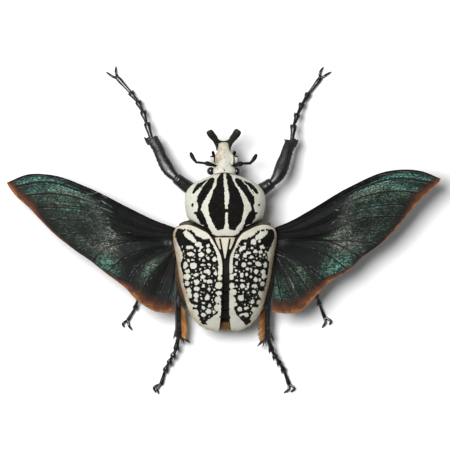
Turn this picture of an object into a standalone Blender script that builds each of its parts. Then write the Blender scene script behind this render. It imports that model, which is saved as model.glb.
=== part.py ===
"""Goliath beetle, a still life-size model in the spread pose of a set specimen.

Metres, +Z up, head towards -Y, the animal's left towards +X. The origin is on the floor under the
middle of the body. Sizes below are in millimetres and become metres when a mesh is made.
"""
import math
import random

import bmesh
import bpy
import numpy as np
from mathutils import Vector

MM = 0.001
GAP = 0.3
SEED = 91

# Driving dimensions of the body, in millimetres
PRONOTUM_UNDERSIDE = 17.5
PRONOTUM_EDGE = 1.0
PRONOTUM_REAR = 2.8
PRONOTUM_SQUARENESS = 2.2
PRONOTUM_CLEARANCE = 0.45
PROSTERNUM_FRONT = -25.2
ELYTRON_THICKNESS = 1.0
ELYTRON_END = 45.6
CORE_INSET = 2.2
CORE_CLEARANCE = 1.45
THORAX_FRONT = -4.2
WAIST = 24.0
ABDOMEN_END = 44.0
BACK_SQUARENESS = 2.3
BELLY_SQUARENESS = 2.3
WING_THICKNESS = 0.55
WING_REACH = 98.0
VEIN_HEIGHT = 0.4
VEIN_FOOT = 0.9
PLEAT_HEIGHT = 0.35
WING_ROOT_HEIGHT = 17.6
CLAW_LEVEL = 0.18
CLAW_BOW_LEVEL = 1.3

# Colours as red, green, blue, then roughness
BLACK = (0.012, 0.012, 0.012, 0.25)
IVORY = (0.78, 0.76, 0.66, 0.5)
WING_GREEN = (0.02, 0.045, 0.038, 0.35)
EYE_BROWN = (0.02, 0.012, 0.01, 0.1)


def clear_scene():
    for thing in list(bpy.data.objects):
        bpy.data.objects.remove(thing, do_unlink=True)


def curve(points):
    """A smooth curve through a few points, as a function of 0 to 1 along its length."""
    knots = np.array(points, float)
    lengths = np.linalg.norm(np.diff(knots[:, :3], axis=0), axis=1)
    place = np.concatenate([[0.0], np.cumsum(lengths)])
    place /= place[-1]
    slope = np.gradient(knots, place, axis=0)

    def at(t):
        i = int(np.clip(np.searchsorted(place, t) - 1, 0, len(place) - 2))
        span = place[i + 1] - place[i]
        a = (t - place[i]) / span
        return ((2 * a ** 3 - 3 * a ** 2 + 1) * knots[i]
                + (a ** 3 - 2 * a ** 2 + a) * span * slope[i]
                + (3 * a ** 2 - 2 * a ** 3) * knots[i + 1]
                + (a ** 3 - a ** 2) * span * slope[i + 1])

    return at


def profile(pairs):
    """A smooth value along the body from pairs of place and value."""
    places = np.array([pair[0] for pair in pairs], float)
    values = np.array([pair[1] for pair in pairs], float)
    slope = np.gradient(values, places)

    def at(x):
        x = float(np.clip(x, places[0], places[-1]))
        i = int(np.clip(np.searchsorted(places, x) - 1, 0, len(places) - 2))
        span = places[i + 1] - places[i]
        a = (x - places[i]) / span
        return float((2 * a ** 3 - 3 * a ** 2 + 1) * values[i]
                     + (a ** 3 - 2 * a ** 2 + a) * span * slope[i]
                     + (3 * a ** 2 - 2 * a ** 3) * values[i + 1]
                     + (a ** 3 - a ** 2) * span * slope[i + 1])

    return at


def arch(share, squareness):
    """Height share of a rounded arch at a share of its half width."""
    share = min(abs(share), 1.0)
    return (1.0 - share ** squareness) ** (1.0 / squareness)


def new_object(name, points, faces):
    mesh = bpy.data.meshes.new(name)
    mesh.from_pydata([Vector([float(c) for c in p]) * MM for p in points], [], faces)
    shape = bmesh.new()
    shape.from_mesh(mesh)
    bmesh.ops.recalc_face_normals(shape, faces=shape.faces)
    shape.to_mesh(mesh)
    shape.free()
    thing = bpy.data.objects.new(name, mesh)
    bpy.context.scene.collection.objects.link(thing)
    return thing


def finish(thing, colour, smooth_angle=40):
    """Give a node its material and smooth shading."""
    red, green, blue, roughness = colour
    paint = bpy.data.materials.new(thing.name)
    paint.use_nodes = True
    shader = paint.node_tree.nodes["Principled BSDF"]
    shader.inputs["Base Color"].default_value = (red, green, blue, 1.0)
    shader.inputs["Roughness"].default_value = roughness
    shader.inputs["Metallic"].default_value = 0.0
    thing.data.materials.clear()
    thing.data.materials.append(paint)
    thing.data.shade_smooth()
    thing.data.set_sharp_from_angle(angle=math.radians(smooth_angle))
    return thing


def loft(name, rings):
    """A closed tube through rings of points, with a flat cap at each end."""
    count = len(rings[0])
    points = [point for ring in rings for point in ring]
    faces = []
    for r in range(len(rings) - 1):
        for k in range(count):
            n = (k + 1) % count
            a, b = r * count + k, r * count + n
            c, d = (r + 1) * count + n, (r + 1) * count + k
            faces += [(a, b, c), (a, c, d)]
    faces.append(tuple(reversed(range(count))))
    faces.append(tuple(range((len(rings) - 1) * count, len(rings) * count)))
    return new_object(name, points, faces)


def ring(centre, normal, half_width, half_height, sides):
    """Points of an ellipse that faces along the normal, its width kept level."""
    normal = Vector(normal).normalized()
    across = normal.cross(Vector((0, 0, 1)))
    if across.length < 0.05:
        across = Vector((1, 0, 0))
    across.normalize()
    up = across.cross(normal)
    centre = Vector(centre)
    turns = [2 * math.pi * (k + 0.5) / sides for k in range(sides)]
    return [centre + across * half_width * math.cos(a) + up * half_height * math.sin(a) for a in turns]


def limb(name, stations, sides=8, steps=2, start=None, end=None):
    """A tapered bar through stations of x, y, z, half width and half height."""
    at = curve(stations)
    total = steps * (len(stations) - 1)
    samples = [at(k / total) for k in range(total + 1)]
    rings = []
    for k, sample in enumerate(samples):
        before, after = samples[max(k - 1, 0)], samples[min(k + 1, total)]
        normal = after[:3] - before[:3]
        if k == 0 and start is not None:
            normal = start
        if k == total and end is not None:
            normal = end
        rings.append(ring(sample[:3], normal, sample[3], sample[4], sides))
    return loft(name, rings)


def spike(name, root, tip, width, sides=5):
    """A straight spine that tapers from its root to its tip."""
    root, tip = Vector(root), Vector(tip)
    along = tip - root
    rings = [ring(root, along, width, width, sides), ring(tip, along, 0.22 * width, 0.22 * width, sides)]
    return loft(name, rings)


def ball(name, centre, sizes, rows=8, sides=12):
    """An egg of the given half sizes, as rings from its front pole to its rear pole."""
    centre = Vector(centre)
    rings = []
    for r in range(rows + 1):
        turn = math.pi * (0.06 + 0.88 * r / rows)
        radius = math.sin(turn)
        y = -math.cos(turn) * sizes[1]
        angles = [2 * math.pi * k / sides for k in range(sides)]
        rings.append([centre + Vector((sizes[0] * radius * math.cos(a), y, sizes[2] * radius * math.sin(a)))
                      for a in angles])
    return loft(name, rings)


def surface_normals(grid):
    """The normal at each point of a grid of surface points."""
    along = np.gradient(grid, axis=0)
    across = np.gradient(grid, axis=1)
    normals = np.cross(along, across)
    normals /= np.maximum(np.linalg.norm(normals, axis=2, keepdims=True), 1e-9)
    if normals[..., 2].sum() < 0:
        normals = -normals
    return normals


def slab(name, upper, lower):
    """A closed slab between two grids of points, split into triangles alike on both faces."""
    rows, columns = upper.shape[:2]
    points = list(upper.reshape(-1, 3)) + list(lower.reshape(-1, 3))
    offset = rows * columns
    faces = []
    for r in range(rows - 1):
        for c in range(columns - 1):
            a, b = r * columns + c, r * columns + c + 1
            d, e = a + columns, b + columns
            faces += [(a, b, e), (a, e, d), (offset + a, offset + e, offset + b),
                      (offset + a, offset + d, offset + e)]
    edge = ([c for c in range(columns)] + [r * columns + columns - 1 for r in range(1, rows)]
            + [(rows - 1) * columns + c for c in range(columns - 2, -1, -1)]
            + [r * columns for r in range(rows - 2, 0, -1)])
    for k, a in enumerate(edge):
        b = edge[(k + 1) % len(edge)]
        faces += [(a, offset + a, offset + b), (a, offset + b, b)]
    return new_object(name, points, faces)


def coons(front, rear, first, last):
    """A plan position from shares across and along, between four edge curves."""
    def at(u, v):
        corners = ((1 - u) * (1 - v) * front(0)[:2] + u * (1 - v) * front(1)[:2]
                   + (1 - u) * v * rear(0)[:2] + u * v * rear(1)[:2])
        return ((1 - v) * front(u)[:2] + v * rear(u)[:2]
                + (1 - u) * first(v)[:2] + u * last(v)[:2] - corners)

    return at


def applied(thing):
    """Apply the modifiers of an object."""
    graph = bpy.context.evaluated_depsgraph_get()
    mesh = bpy.data.meshes.new_from_object(thing.evaluated_get(graph))
    thing.modifiers.clear()
    thing.data = mesh
    return thing


def keep_largest(thing):
    """Keep only the largest closed surface of a mesh and weld its tiny edges."""
    shape = bmesh.new()
    shape.from_mesh(thing.data)
    bmesh.ops.remove_doubles(shape, verts=shape.verts, dist=2e-7)
    bmesh.ops.triangulate(shape, faces=[f for f in shape.faces if len(f.verts) > 4])
    unseen = set(shape.faces)
    groups = []
    while unseen:
        stack = [unseen.pop()]
        group = set(stack)
        while stack:
            for edge in stack.pop().edges:
                for face in edge.link_faces:
                    if face in unseen:
                        unseen.discard(face)
                        group.add(face)
                        stack.append(face)
        groups.append(group)
    largest = max(groups, key=lambda faces: sum(face.calc_area() for face in faces))
    for group in groups:
        if group is not largest:
            bmesh.ops.delete(shape, geom=list(group), context="FACES")
    loose = [v for v in shape.verts if not v.link_faces]
    bmesh.ops.delete(shape, geom=loose, context="VERTS")
    shape.to_mesh(thing.data)
    shape.free()
    return thing


def combine(name, base, pieces, operation="UNION"):
    """Join or cut a closed body with a collection of closed pieces, and apply it."""
    group = bpy.data.collections.new(name + "_pieces")
    for piece in pieces:
        group.objects.link(piece)
    tool = base.modifiers.new(operation.title(), "BOOLEAN")
    tool.operation = operation
    tool.operand_type = "COLLECTION"
    tool.collection = group
    tool.solver = "EXACT"
    bpy.context.view_layer.update()
    applied(base)
    for piece in pieces:
        bpy.data.objects.remove(piece, do_unlink=True)
    bpy.data.collections.remove(group)
    base.name = name
    base.data.name = name
    return keep_largest(base)


# The outline of the back: half width, height of its side margin and rise of its crown
back_half_width = profile([(-4, 23.4), (1, 23.4), (4, 23.3), (9, 22.6), (15, 21.5), (22, 20.5), (29, 18.6),
                           (36, 16.4), (40, 14.0), (42.6, 11.8), (44.4, 8.8), (45.6, 4.5)])
back_margin = profile([(-4, 19.4), (4, 19.0), (15, 18.4), (26, 17.4), (36, 15.8), (45.6, 14.2)])
back_rise = profile([(-4, 11.4), (2, 12.8), (10, 14.0), (18, 14.0), (26, 12.9), (34, 10.6), (40, 7.4),
                     (43.5, 4.6), (45.6, 2.2)])
belly_level = profile([(-4, 8.6), (2, 6.9), (10, 6.4), (18, 6.8), (26, 8.0), (34, 9.2), (40, 10.6),
                       (45, 12.6)])

# The plan of the pronotum: half width of its sides from front to rear
PRONOTUM_BROW = [(5.4, -24.9), (2.9, -26.0), (0.2, -26.5), (-2.6, -26.0), (-5.4, -24.9)]
PRONOTUM_SIDE = [(5.4, -24.9), (9.0, -23.5), (12.6, -21.8), (15.8, -19.6), (17.7, -16.6), (18.2, -12.6),
                 (17.7, -8.6), (16.9, -5.8), (15.6, -4.1)]
PRONOTUM_BASE = [(15.6, -4.1), (11.6, -2.4), (8.3, -0.5), (5.8, 2.0), (4.4, 2.7), (0.0, 2.8),
                 (-4.4, 2.7), (-5.8, 2.0), (-8.3, -0.5), (-11.6, -2.4), (-15.6, -4.1)]
pronotum_rise = profile([(0, 4.6), (0.2, 7.4), (0.45, 9.9), (0.7, 11.2), (0.88, 11.3), (1, 10.4)])


def back_height(x, y):
    """Height of the outer surface of the back above the floor."""
    share = x / back_half_width(y)
    return back_margin(y) + back_rise(y) * arch(share, BACK_SQUARENESS)


def mirrored(points):
    return [(-p[0],) + tuple(p[1:]) for p in points]


def pronotum_plan():
    return coons(curve(PRONOTUM_BROW), curve(PRONOTUM_BASE), curve(PRONOTUM_SIDE),
                 curve(mirrored(PRONOTUM_SIDE)))


def pronotum_grid(columns, rows):
    """Points of the pronotum's upper surface, closer together near its sides."""
    plan = pronotum_plan()
    grid = np.zeros((rows, columns, 3))
    for r in range(rows):
        v = r / (rows - 1)
        for c in range(columns):
            turn = math.pi * c / (columns - 1)
            u = 0.5 - 0.5 * math.cos(turn)
            x, y = plan(u, v)
            rise = pronotum_rise(v) * arch(2 * u - 1, PRONOTUM_SQUARENESS)
            grid[r, c] = (x, y, PRONOTUM_UNDERSIDE + PRONOTUM_EDGE + rise)
    return grid


def make_pronotum():
    upper = pronotum_grid(19, 14)
    lower = upper.copy()
    lower[..., 2] = PRONOTUM_UNDERSIDE
    return finish(slab("pronotum", upper, lower), IVORY)


def pronotum_clearance():
    """A cutter a little larger than the pronotum, for the head and the body behind it."""
    plan = [np.array(p) for p in PRONOTUM_SIDE + PRONOTUM_BASE[1:-1] + mirrored(PRONOTUM_SIDE)[::-1]
            + PRONOTUM_BROW[-2:0:-1]]
    middle = np.array((0.0, -11.0))
    above_all = 40.0
    outline = []
    for k, point in enumerate(plan):
        side = plan[(k + 1) % len(plan)] - plan[k - 1]
        outward = np.array((side[1], -side[0]))
        outward /= np.linalg.norm(outward)
        if np.dot(outward, point - middle) < 0:
            outward = -outward
        outline.append(point + outward * PRONOTUM_CLEARANCE)
    low = [(x, y, PRONOTUM_UNDERSIDE - GAP) for x, y in outline]
    high = [(x, y, above_all) for x, y in outline]
    return loft("pronotum_clearance", [low, high])


def body_ring(y, half_width, side_level, crown, belly, sides=24, squareness=BACK_SQUARENESS):
    """A section of the trunk: a rounded back over a rounded belly."""
    points = []
    for k in range(sides):
        turn = 2 * math.pi * k / sides
        cosine, sine = math.cos(turn), math.sin(turn)
        power = 2.0 / squareness if sine >= 0 else 2.0 / BELLY_SQUARENESS
        x = half_width * math.copysign(abs(cosine) ** power, cosine)
        depth = crown - side_level if sine >= 0 else side_level - belly
        z = side_level + depth * math.copysign(abs(sine) ** power, sine)
        points.append((x, y, z))
    return points


shoulder_narrowing = profile([(THORAX_FRONT, 6.4), (-3.0, 2.6), (-1.6, 0.6), (-0.6, 0.0), (2.0, 0.0)])


def trunk_ring(y, shrink=0.0):
    """A section of the trunk under the elytra."""
    slope_allowance = 0.09 * max(0.0, y - 22.0)
    ahead = min(y + slope_allowance, ELYTRON_END)
    half_width = back_half_width(y) - CORE_INSET - shrink - shoulder_narrowing(y)
    side = back_margin(y) - 0.6
    crown = back_margin(ahead) + back_rise(ahead) - CORE_CLEARANCE - 0.25 * slope_allowance - shrink
    return body_ring(y, half_width, side, crown, belly_level(y) + shrink)


def prosternum_ring(y, half_width, belly):
    top = PRONOTUM_UNDERSIDE - GAP
    points = []
    for k in range(9):
        turn = math.pi + math.pi * k / 8
        x = half_width * math.copysign(abs(math.cos(turn)) ** 0.85, math.cos(turn))
        points.append((x, y, top - 1.5 + (top - 1.5 - belly) * math.sin(turn)))
    points += [(half_width, y, top), (-half_width, y, top)]
    return points


# Each leg: places in millimetres, then a bar's half width and half height, or a spine's root width
LEGS = {
    "fore_left": {
        "hip": [(5.0, -12.8, 11.0), (11.0, -14.9, 10.6)],
        "knee": (22.4, -23.9, 14.4), "femur_size": (2.8, 2.3), "knee_size": (2.3, 1.5),
        "tibia": [(24.4, -25.9, 14.0, 2.3, 1.5), (26.4, -28.8, 13.4, 2.6, 1.5),
                  (28.6, -32.9, 12.3, 2.35, 1.4), (30.4, -37.2, 11.0, 2.3, 1.3),
                  (32.9, -41.2, 9.7, 2.35, 1.2)],
        "teeth": [((33.9, -39.0, 10.0), (36.5, -42.0, 9.4), 1.3)],
        "spurs": [((30.9, -40.2, 9.7), (30.2, -42.6, 9.2), 0.8)],
        "tarsus": [(33.5, -41.9, 9.4), (35.3, -48.4, 7.8), (37.1, -53.8, 5.8), (39.4, -58.2, 3.8),
                   (42.8, -62.4, 1.9), (48.6, -68.9, 0.8)],
        "tarsus_size": (0.95, 1.35),
        "claws": [((49.4, -71.4), (49.3, -74.2)), ((51.2, -69.7), (53.8, -71.6))],
    },
    "fore_right": {
        "hip": [(-5.0, -12.4, 11.0), (-11.0, -14.3, 10.6)],
        "knee": (-21.5, -21.7, 14.4), "femur_size": (2.8, 2.3), "knee_size": (2.3, 1.5),
        "tibia": [(-23.0, -23.2, 14.1, 2.2, 1.5), (-24.8, -26.3, 13.6, 2.75, 1.5),
                  (-26.0, -29.6, 12.8, 2.8, 1.45), (-27.3, -33.1, 12.0, 2.5, 1.4),
                  (-28.4, -36.7, 11.0, 2.35, 1.3), (-30.0, -40.2, 9.7, 2.4, 1.2)],
        "teeth": [((-30.9, -37.9, 10.0), (-33.1, -41.0, 9.4), 1.3)],
        "spurs": [((-27.9, -39.3, 9.7), (-26.8, -41.3, 9.2), 0.8)],
        "tarsus": [(-30.2, -41.0, 9.4), (-31.0, -47.5, 7.8), (-32.8, -52.6, 5.8), (-35.0, -57.3, 3.8),
                   (-37.8, -61.8, 1.9), (-43.2, -68.8, 0.8)],
        "tarsus_size": (0.9, 1.35),
        "claws": [((-43.0, -71.5), (-44.5, -73.9)), ((-45.7, -70.3), (-48.1, -71.6))],
    },
    "mid_left": {
        "hip": [(7.5, 5.4, 9.0), (12.8, 6.4, 6.3)],
        "knee": (28.0, 10.2, 11.6), "femur_size": (2.4, 2.0), "knee_size": (1.6, 1.3),
        "tibia": [(30.4, 13.0, 11.2, 1.5, 1.2), (33.3, 18.0, 9.4, 1.6, 1.2), (36.0, 23.0, 7.4, 2.2, 1.3)],
        "teeth": [((34.4, 17.6, 9.3), (36.6, 19.8, 8.9), 0.7)],
        "spurs": [((35.2, 23.0, 7.2), (34.2, 26.2, 6.2), 0.5),
                  ((37.2, 22.4, 7.4), (39.2, 24.4, 7.0), 0.5)],
        "tarsus": [(36.4, 23.8, 7.1), (37.3, 26.6, 6.4), (38.3, 29.2, 5.2), (39.4, 32.0, 3.8),
                   (40.8, 35.5, 2.2), (44.1, 41.0, 0.8)],
        "tarsus_size": (0.75, 1.05),
        "claws": [((46.2, 42.6), (45.4, 44.0)), ((43.3, 43.5), (41.8, 45.3))],
    },
    "mid_right": {
        "hip": [(-7.5, 5.4, 9.0), (-12.8, 6.4, 6.3)],
        "knee": (-28.6, 9.8, 11.6), "femur_size": (2.4, 2.0), "knee_size": (1.6, 1.3),
        "tibia": [(-31.2, 12.6, 11.2, 1.5, 1.2), (-34.4, 17.2, 9.4, 1.6, 1.2),
                  (-37.3, 22.0, 7.4, 2.2, 1.3)],
        "teeth": [((-35.6, 16.8, 9.3), (-37.9, 18.8, 8.9), 0.7)],
        "spurs": [((-36.4, 22.0, 7.2), (-35.6, 25.2, 6.2), 0.5),
                  ((-38.5, 21.4, 7.4), (-40.6, 23.2, 7.0), 0.5)],
        "tarsus": [(-37.8, 22.7, 7.1), (-39.2, 25.2, 6.4), (-40.5, 27.8, 5.2), (-41.7, 30.4, 3.8),
                   (-42.8, 33.6, 2.2), (-45.2, 39.9, 0.8)],
        "tarsus_size": (0.75, 1.05),
        "claws": [((-47.9, 41.4), (-47.1, 42.9)), ((-45.2, 42.0), (-43.9, 44.2))],
    },
    "hind_left": {
        "hip": [(7.0, 19.6, 9.0), (11.6, 21.4, 6.4)],
        "knee": (20.9, 29.6, 10.4), "femur_size": (2.7, 2.2), "knee_size": (1.7, 1.4),
        "tibia": [(21.0, 33.4, 10.2, 1.6, 1.3), (21.0, 38.6, 9.2, 1.55, 1.3), (20.9, 43.6, 8.0, 1.6, 1.2),
                  (20.9, 48.2, 6.8, 2.0, 1.2)],
        "teeth": [((22.1, 45.4, 7.4), (23.3, 49.4, 6.6), 0.7)],
        "spurs": [((19.6, 47.8, 6.8), (15.4, 51.1, 5.6), 0.9), ((19.6, 47.4, 5.9), (18.2, 51.9, 4.8), 0.6),
                  ((20.3, 47.4, 5.7), (19.5, 50.8, 4.5), 0.45)],
        "tarsus": [(21.1, 49.2, 6.4), (22.1, 54.1, 5.4), (23.8, 57.3, 4.4), (25.4, 60.3, 3.2),
                   (27.2, 63.7, 2.0), (28.9, 69.9, 0.8)],
        "tarsus_size": (0.85, 1.2),
        "claws": [((32.2, 71.4), (31.2, 73.6)), ((30.6, 72.0), (29.9, 74.2))],
    },
    "hind_right": {
        "hip": [(-7.0, 19.8, 9.0), (-11.4, 21.8, 6.4)],
        "knee": (-19.4, 30.6, 10.4), "femur_size": (2.7, 2.2), "knee_size": (1.7, 1.4),
        "tibia": [(-19.3, 34.4, 10.2, 1.6, 1.3), (-19.2, 39.6, 9.2, 1.6, 1.3), (-19.2, 44.6, 8.0, 1.6, 1.2),
                  (-19.3, 49.0, 6.8, 2.0, 1.2)],
        "teeth": [((-20.5, 46.4, 7.4), (-22.1, 50.2, 6.6), 0.7)],
        "spurs": [((-18.0, 48.8, 6.8), (-14.5, 52.6, 5.6), 0.9),
                  ((-18.1, 48.2, 5.9), (-17.0, 53.2, 4.8), 0.6),
                  ((-18.7, 48.2, 5.7), (-18.2, 51.7, 4.5), 0.45)],
        "tarsus": [(-19.8, 50.0, 6.4), (-21.3, 54.7, 5.4), (-23.1, 57.8, 4.4), (-25.0, 60.6, 3.2),
                   (-26.8, 63.7, 2.0), (-29.1, 70.0, 0.8)],
        "tarsus_size": (0.85, 1.2),
        "claws": [((-28.5, 72.2), (-26.6, 73.6)), ((-31.3, 71.7), (-29.7, 73.3))],
    },
}
FRINGE_LOCKS = 13
SEGMENTS = 5

# The wings' veins from root to margin, front to rear, with the strength of each as a ridge
WING_VEINS = {
    "left": [
        (0.9, [(21.6, -0.8), (31.5, -4.4), (42.8, -9.8), (60.8, -18.8), (78.8, -24.9), (88.5, -25.1),
               (98.2, -21.4)]),
        (1.0, [(21.6, 0.3), (32.0, -2.4), (44.0, -7.6), (62.0, -16.2), (80.0, -21.8), (97.0, -19.2)]),
        (0.7, [(21.6, 1.3), (33.0, -0.3), (45.0, -4.9), (58.5, -12.0), (78.0, -16.6), (93.8, -15.2)]),
        (0.5, [(21.6, 2.3), (34.0, 1.4), (46.0, -2.3), (58.0, -7.8), (74.0, -10.2), (88.3, -10.2)]),
        (0.5, [(21.6, 3.2), (35.0, 2.8), (47.0, 0.2), (58.0, -4.0), (70.0, -4.6), (83.0, -4.6)]),
        (0.4, [(21.6, 4.0), (36.0, 3.5), (48.0, 2.4), (60.0, 1.2), (76.2, 2.2)]),
        (0.4, [(21.6, 4.7), (36.5, 4.2), (49.0, 4.2), (58.0, 6.0), (67.5, 9.0)]),
        (0.9, [(21.6, 5.4), (34.0, 4.8), (46.0, 5.6), (54.5, 8.6), (60.0, 14.2)]),
        (0.5, [(21.6, 6.4), (33.0, 7.6), (44.0, 11.2), (53.5, 19.4)]),
        (0.7, [(21.7, 7.4), (29.4, 10.2), (38.2, 15.6), (45.4, 25.5)]),
        (0.5, [(21.8, 8.4), (27.8, 14.0), (34.0, 21.5), (39.6, 31.5)]),
        (0.4, [(21.9, 9.4), (25.6, 17.6), (29.2, 26.6), (32.8, 36.0)]),
        (0.3, [(22.1, 10.4), (23.2, 19.0), (24.8, 28.0), (27.8, 37.1)]),
        (0.3, [(22.3, 11.4), (22.6, 19.8), (22.8, 28.6), (22.9, 36.8)]),
    ],
    "right": [
        (0.9, [(-21.6, -0.8), (-29.2, -3.9), (-38.2, -8.9), (-56.2, -19.5), (-74.2, -26.7),
               (-88.0, -26.6), (-97.0, -23.2)]),
        (1.0, [(-21.6, 0.3), (-31.0, -2.3), (-42.0, -8.2), (-58.0, -17.2), (-76.0, -23.2), (-95.8, -21.2)]),
        (0.7, [(-21.6, 1.3), (-32.0, -0.3), (-44.0, -5.4), (-58.0, -13.6), (-76.0, -17.6), (-90.8, -16.4)]),
        (0.5, [(-21.6, 2.3), (-33.0, 1.4), (-45.0, -2.5), (-58.0, -8.8), (-72.0, -11.4), (-85.8, -11.4)]),
        (0.5, [(-21.6, 3.2), (-34.0, 2.8), (-47.0, 0.2), (-58.0, -4.4), (-68.0, -6.0), (-81.2, -6.0)]),
        (0.4, [(-21.6, 4.0), (-35.0, 3.5), (-48.0, 2.4), (-60.0, 0.4), (-76.0, 0.4)]),
        (0.4, [(-21.6, 4.7), (-36.0, 4.1), (-49.0, 4.4), (-59.0, 5.0), (-69.6, 6.4)]),
        (0.9, [(-21.6, 5.4), (-34.0, 4.6), (-47.0, 5.0), (-54.0, 8.0), (-61.4, 12.4)]),
        (0.5, [(-21.6, 6.4), (-34.0, 7.4), (-46.0, 11.2), (-55.6, 18.0)]),
        (0.7, [(-21.7, 7.4), (-29.4, 10.6), (-38.2, 17.0), (-46.6, 23.6)]),
        (0.5, [(-21.8, 8.4), (-27.8, 14.0), (-34.0, 22.0), (-39.8, 30.8)]),
        (0.4, [(-21.9, 9.4), (-25.6, 17.6), (-29.4, 27.0), (-34.0, 36.4)]),
        (0.3, [(-22.1, 10.4), (-23.0, 19.0), (-24.8, 28.4), (-28.2, 37.5)]),
        (0.3, [(-22.3, 11.4), (-22.2, 19.8), (-21.8, 28.6), (-21.2, 36.7)]),
    ],
}
WING_ROWS = 10


def wing_level(share_out, share_back):
    """Height of a wing's middle surface: it lifts towards the tip and sinks to its rear."""
    lift = 3.0 * share_out - 1.6 * share_out * share_out
    return WING_ROOT_HEIGHT + lift - 1.3 * share_back * share_out


def wing_lines(veins, rows):
    """Grid lines of a wing: each vein's crest with a foot on either side of it."""
    paths = [curve([(x, y, 0.0) for x, y in points]) for _, points in veins]
    lines = []
    last = len(paths) - 1
    for k, path in enumerate(paths):
        crest = np.array([path(r / (rows - 1)) for r in range(rows)])
        for step in (-1, 0, 1):
            if step == 0:
                lines.append((crest, veins[k][0], k / last))
                continue
            if not 0 <= k + step <= last:
                continue
            other = np.array([paths[k + step](r / (rows - 1)) for r in range(rows)])
            apart = np.linalg.norm(other - crest, axis=1, keepdims=True)
            share = np.minimum(0.3, VEIN_FOOT / np.maximum(apart, 0.01))
            lines.append((crest + (other - crest) * share, 0.0, (k + step * 0.3) / last))
    return lines


def make_wing(side):
    lines = wing_lines(WING_VEINS[side], WING_ROWS)
    rows, columns = WING_ROWS, len(lines)
    middle = np.zeros((rows, columns, 3))
    upper_rise = np.zeros((rows, columns))
    for c, (points, ridge, back) in enumerate(lines):
        for r in range(rows):
            out = r / (rows - 1)
            x, y = points[r][:2]
            reach = min(1.0, abs(x) / WING_REACH)
            pleat = PLEAT_HEIGHT * math.cos(back * 26.0) * math.sin(math.pi * min(1.0, out * 1.15))
            middle[r, c] = (x, y, wing_level(reach, back) + pleat)
            root = (1 - out) ** 4
            fade = 1.0 - 0.75 * out
            upper_rise[r, c] = 0.5 * WING_THICKNESS + 0.25 * root + ridge * VEIN_HEIGHT * fade
    upper, lower = middle.copy(), middle.copy()
    upper[..., 2] += upper_rise
    lower[..., 2] -= 0.5 * WING_THICKNESS
    return finish(slab("wing_" + side, upper, lower), WING_GREEN)


ELYTRON_BASE = [(5.4, 4.2), (7.4, 1.5), (10.8, -0.5), (14.0, -2.0), (16.8, -2.7), (19.5, -2.4),
                (22.1, -1.4)]
ELYTRON_SIDE = [(22.1, -1.4), (23.3, 1.2), (23.3, 4.2), (22.5, 9.2), (21.5, 15.0), (20.5, 22.0),
                (18.6, 29.0), (16.4, 36.0), (14.0, 40.0), (11.5, 42.9)]
ELYTRON_APEX = [(2.5, 45.5), (5.2, 45.3), (8.6, 44.4), (11.5, 42.9)]
ELYTRON_SUTURE = {
    "left": [(5.4, 4.2), (3.6, 7.4), (1.9, 10.8), (1.1, 14.4), (1.0, 20.0), (1.3, 30.0),
             (1.7, 38.0), (2.5, 45.5)],
    "right": [(5.4, 4.2), (4.0, 7.6), (2.3, 11.2), (1.8, 14.6), (1.8, 20.0), (1.7, 30.0),
              (1.7, 38.0), (2.5, 45.5)],
}


def make_elytron(side, columns=12, rows=18):
    """One wing cover: a thin shell on the back's surface, open at the suture."""
    plan = coons(curve(ELYTRON_BASE), curve(ELYTRON_APEX), curve(ELYTRON_SUTURE[side]), curve(ELYTRON_SIDE))
    sign = 1 if side == "left" else -1
    upper = np.zeros((rows, columns, 3))
    for r in range(rows):
        v = math.sin(0.5 * math.pi * r / (rows - 1)) ** 1.15
        for c in range(columns):
            u = math.sin(0.5 * math.pi * c / (columns - 1)) ** (2.0 / BACK_SQUARENESS)
            x, y = plan(u, v)
            upper[r, c] = (sign * x, y, back_height(x, y))
    lower = upper - surface_normals(upper) * ELYTRON_THICKNESS
    return finish(slab("elytron_" + side, upper, lower), IVORY)


def make_scutellum(columns=7, rows=8):
    """The small triangle between the bases of the elytra."""
    half_width, front, apex = 4.5, PRONOTUM_REAR + PRONOTUM_CLEARANCE, 12.6
    thickness, sunk = 0.85, 0.15
    upper = np.zeros((rows, columns, 3))
    for r in range(rows):
        v = r / (rows - 1)
        y = front + (apex - front) * v
        width = 0.35 + (half_width - 0.35) * (1 - v ** 1.25)
        for c in range(columns):
            x = width * (2 * c / (columns - 1) - 1)
            upper[r, c] = (x, y, back_height(x, y) - sunk)
    lower = upper.copy()
    lower[..., 2] -= thickness
    return finish(slab("scutellum", upper, lower), IVORY)


# The head from its front to its rear: place, half width, top and bottom
HEAD_SECTIONS = [(-39.6, 1.95, 17.3, 14.8), (-38.4, 2.35, 17.2, 13.9), (-36.6, 2.5, 17.5, 13.0),
                 (-35.2, 3.1, 17.8, 12.4), (-34.2, 3.9, 18.0, 12.0), (-32.6, 4.25, 18.5, 11.5),
                 (-30.4, 4.1, 19.2, 11.0), (-29.0, 3.7, 19.8, 10.9), (-27.8, 4.9, 20.2, 10.8),
                 (-25.5, 5.1, 21.0, 11.0)]
head_middle = profile([(-39.6, 0.5), (-36.6, 0.6), (-33.0, 0.2), (-25.5, 0.3)])
EYES = {"left": (6.4, -26.7, 15.3), "right": (-5.3, -26.65, 15.3)}
EYE_SIZE = (1.75, 1.85, 1.9)


def skull(name, margin=0.0):
    """The head without its mouthparts, larger all round by a margin."""
    rings = []
    for k, (y, half_width, top, bottom) in enumerate(HEAD_SECTIONS):
        side_level = 0.45 * top + 0.55 * bottom
        section = body_ring(y, half_width + margin, side_level, top + margin, bottom - margin,
                            sides=16, squareness=PRONOTUM_SQUARENESS)
        front = margin if k == 0 else 0.0
        rings.append([(x + head_middle(y), y - front, z) for x, _, z in section])
    return loft(name, rings)


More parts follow.
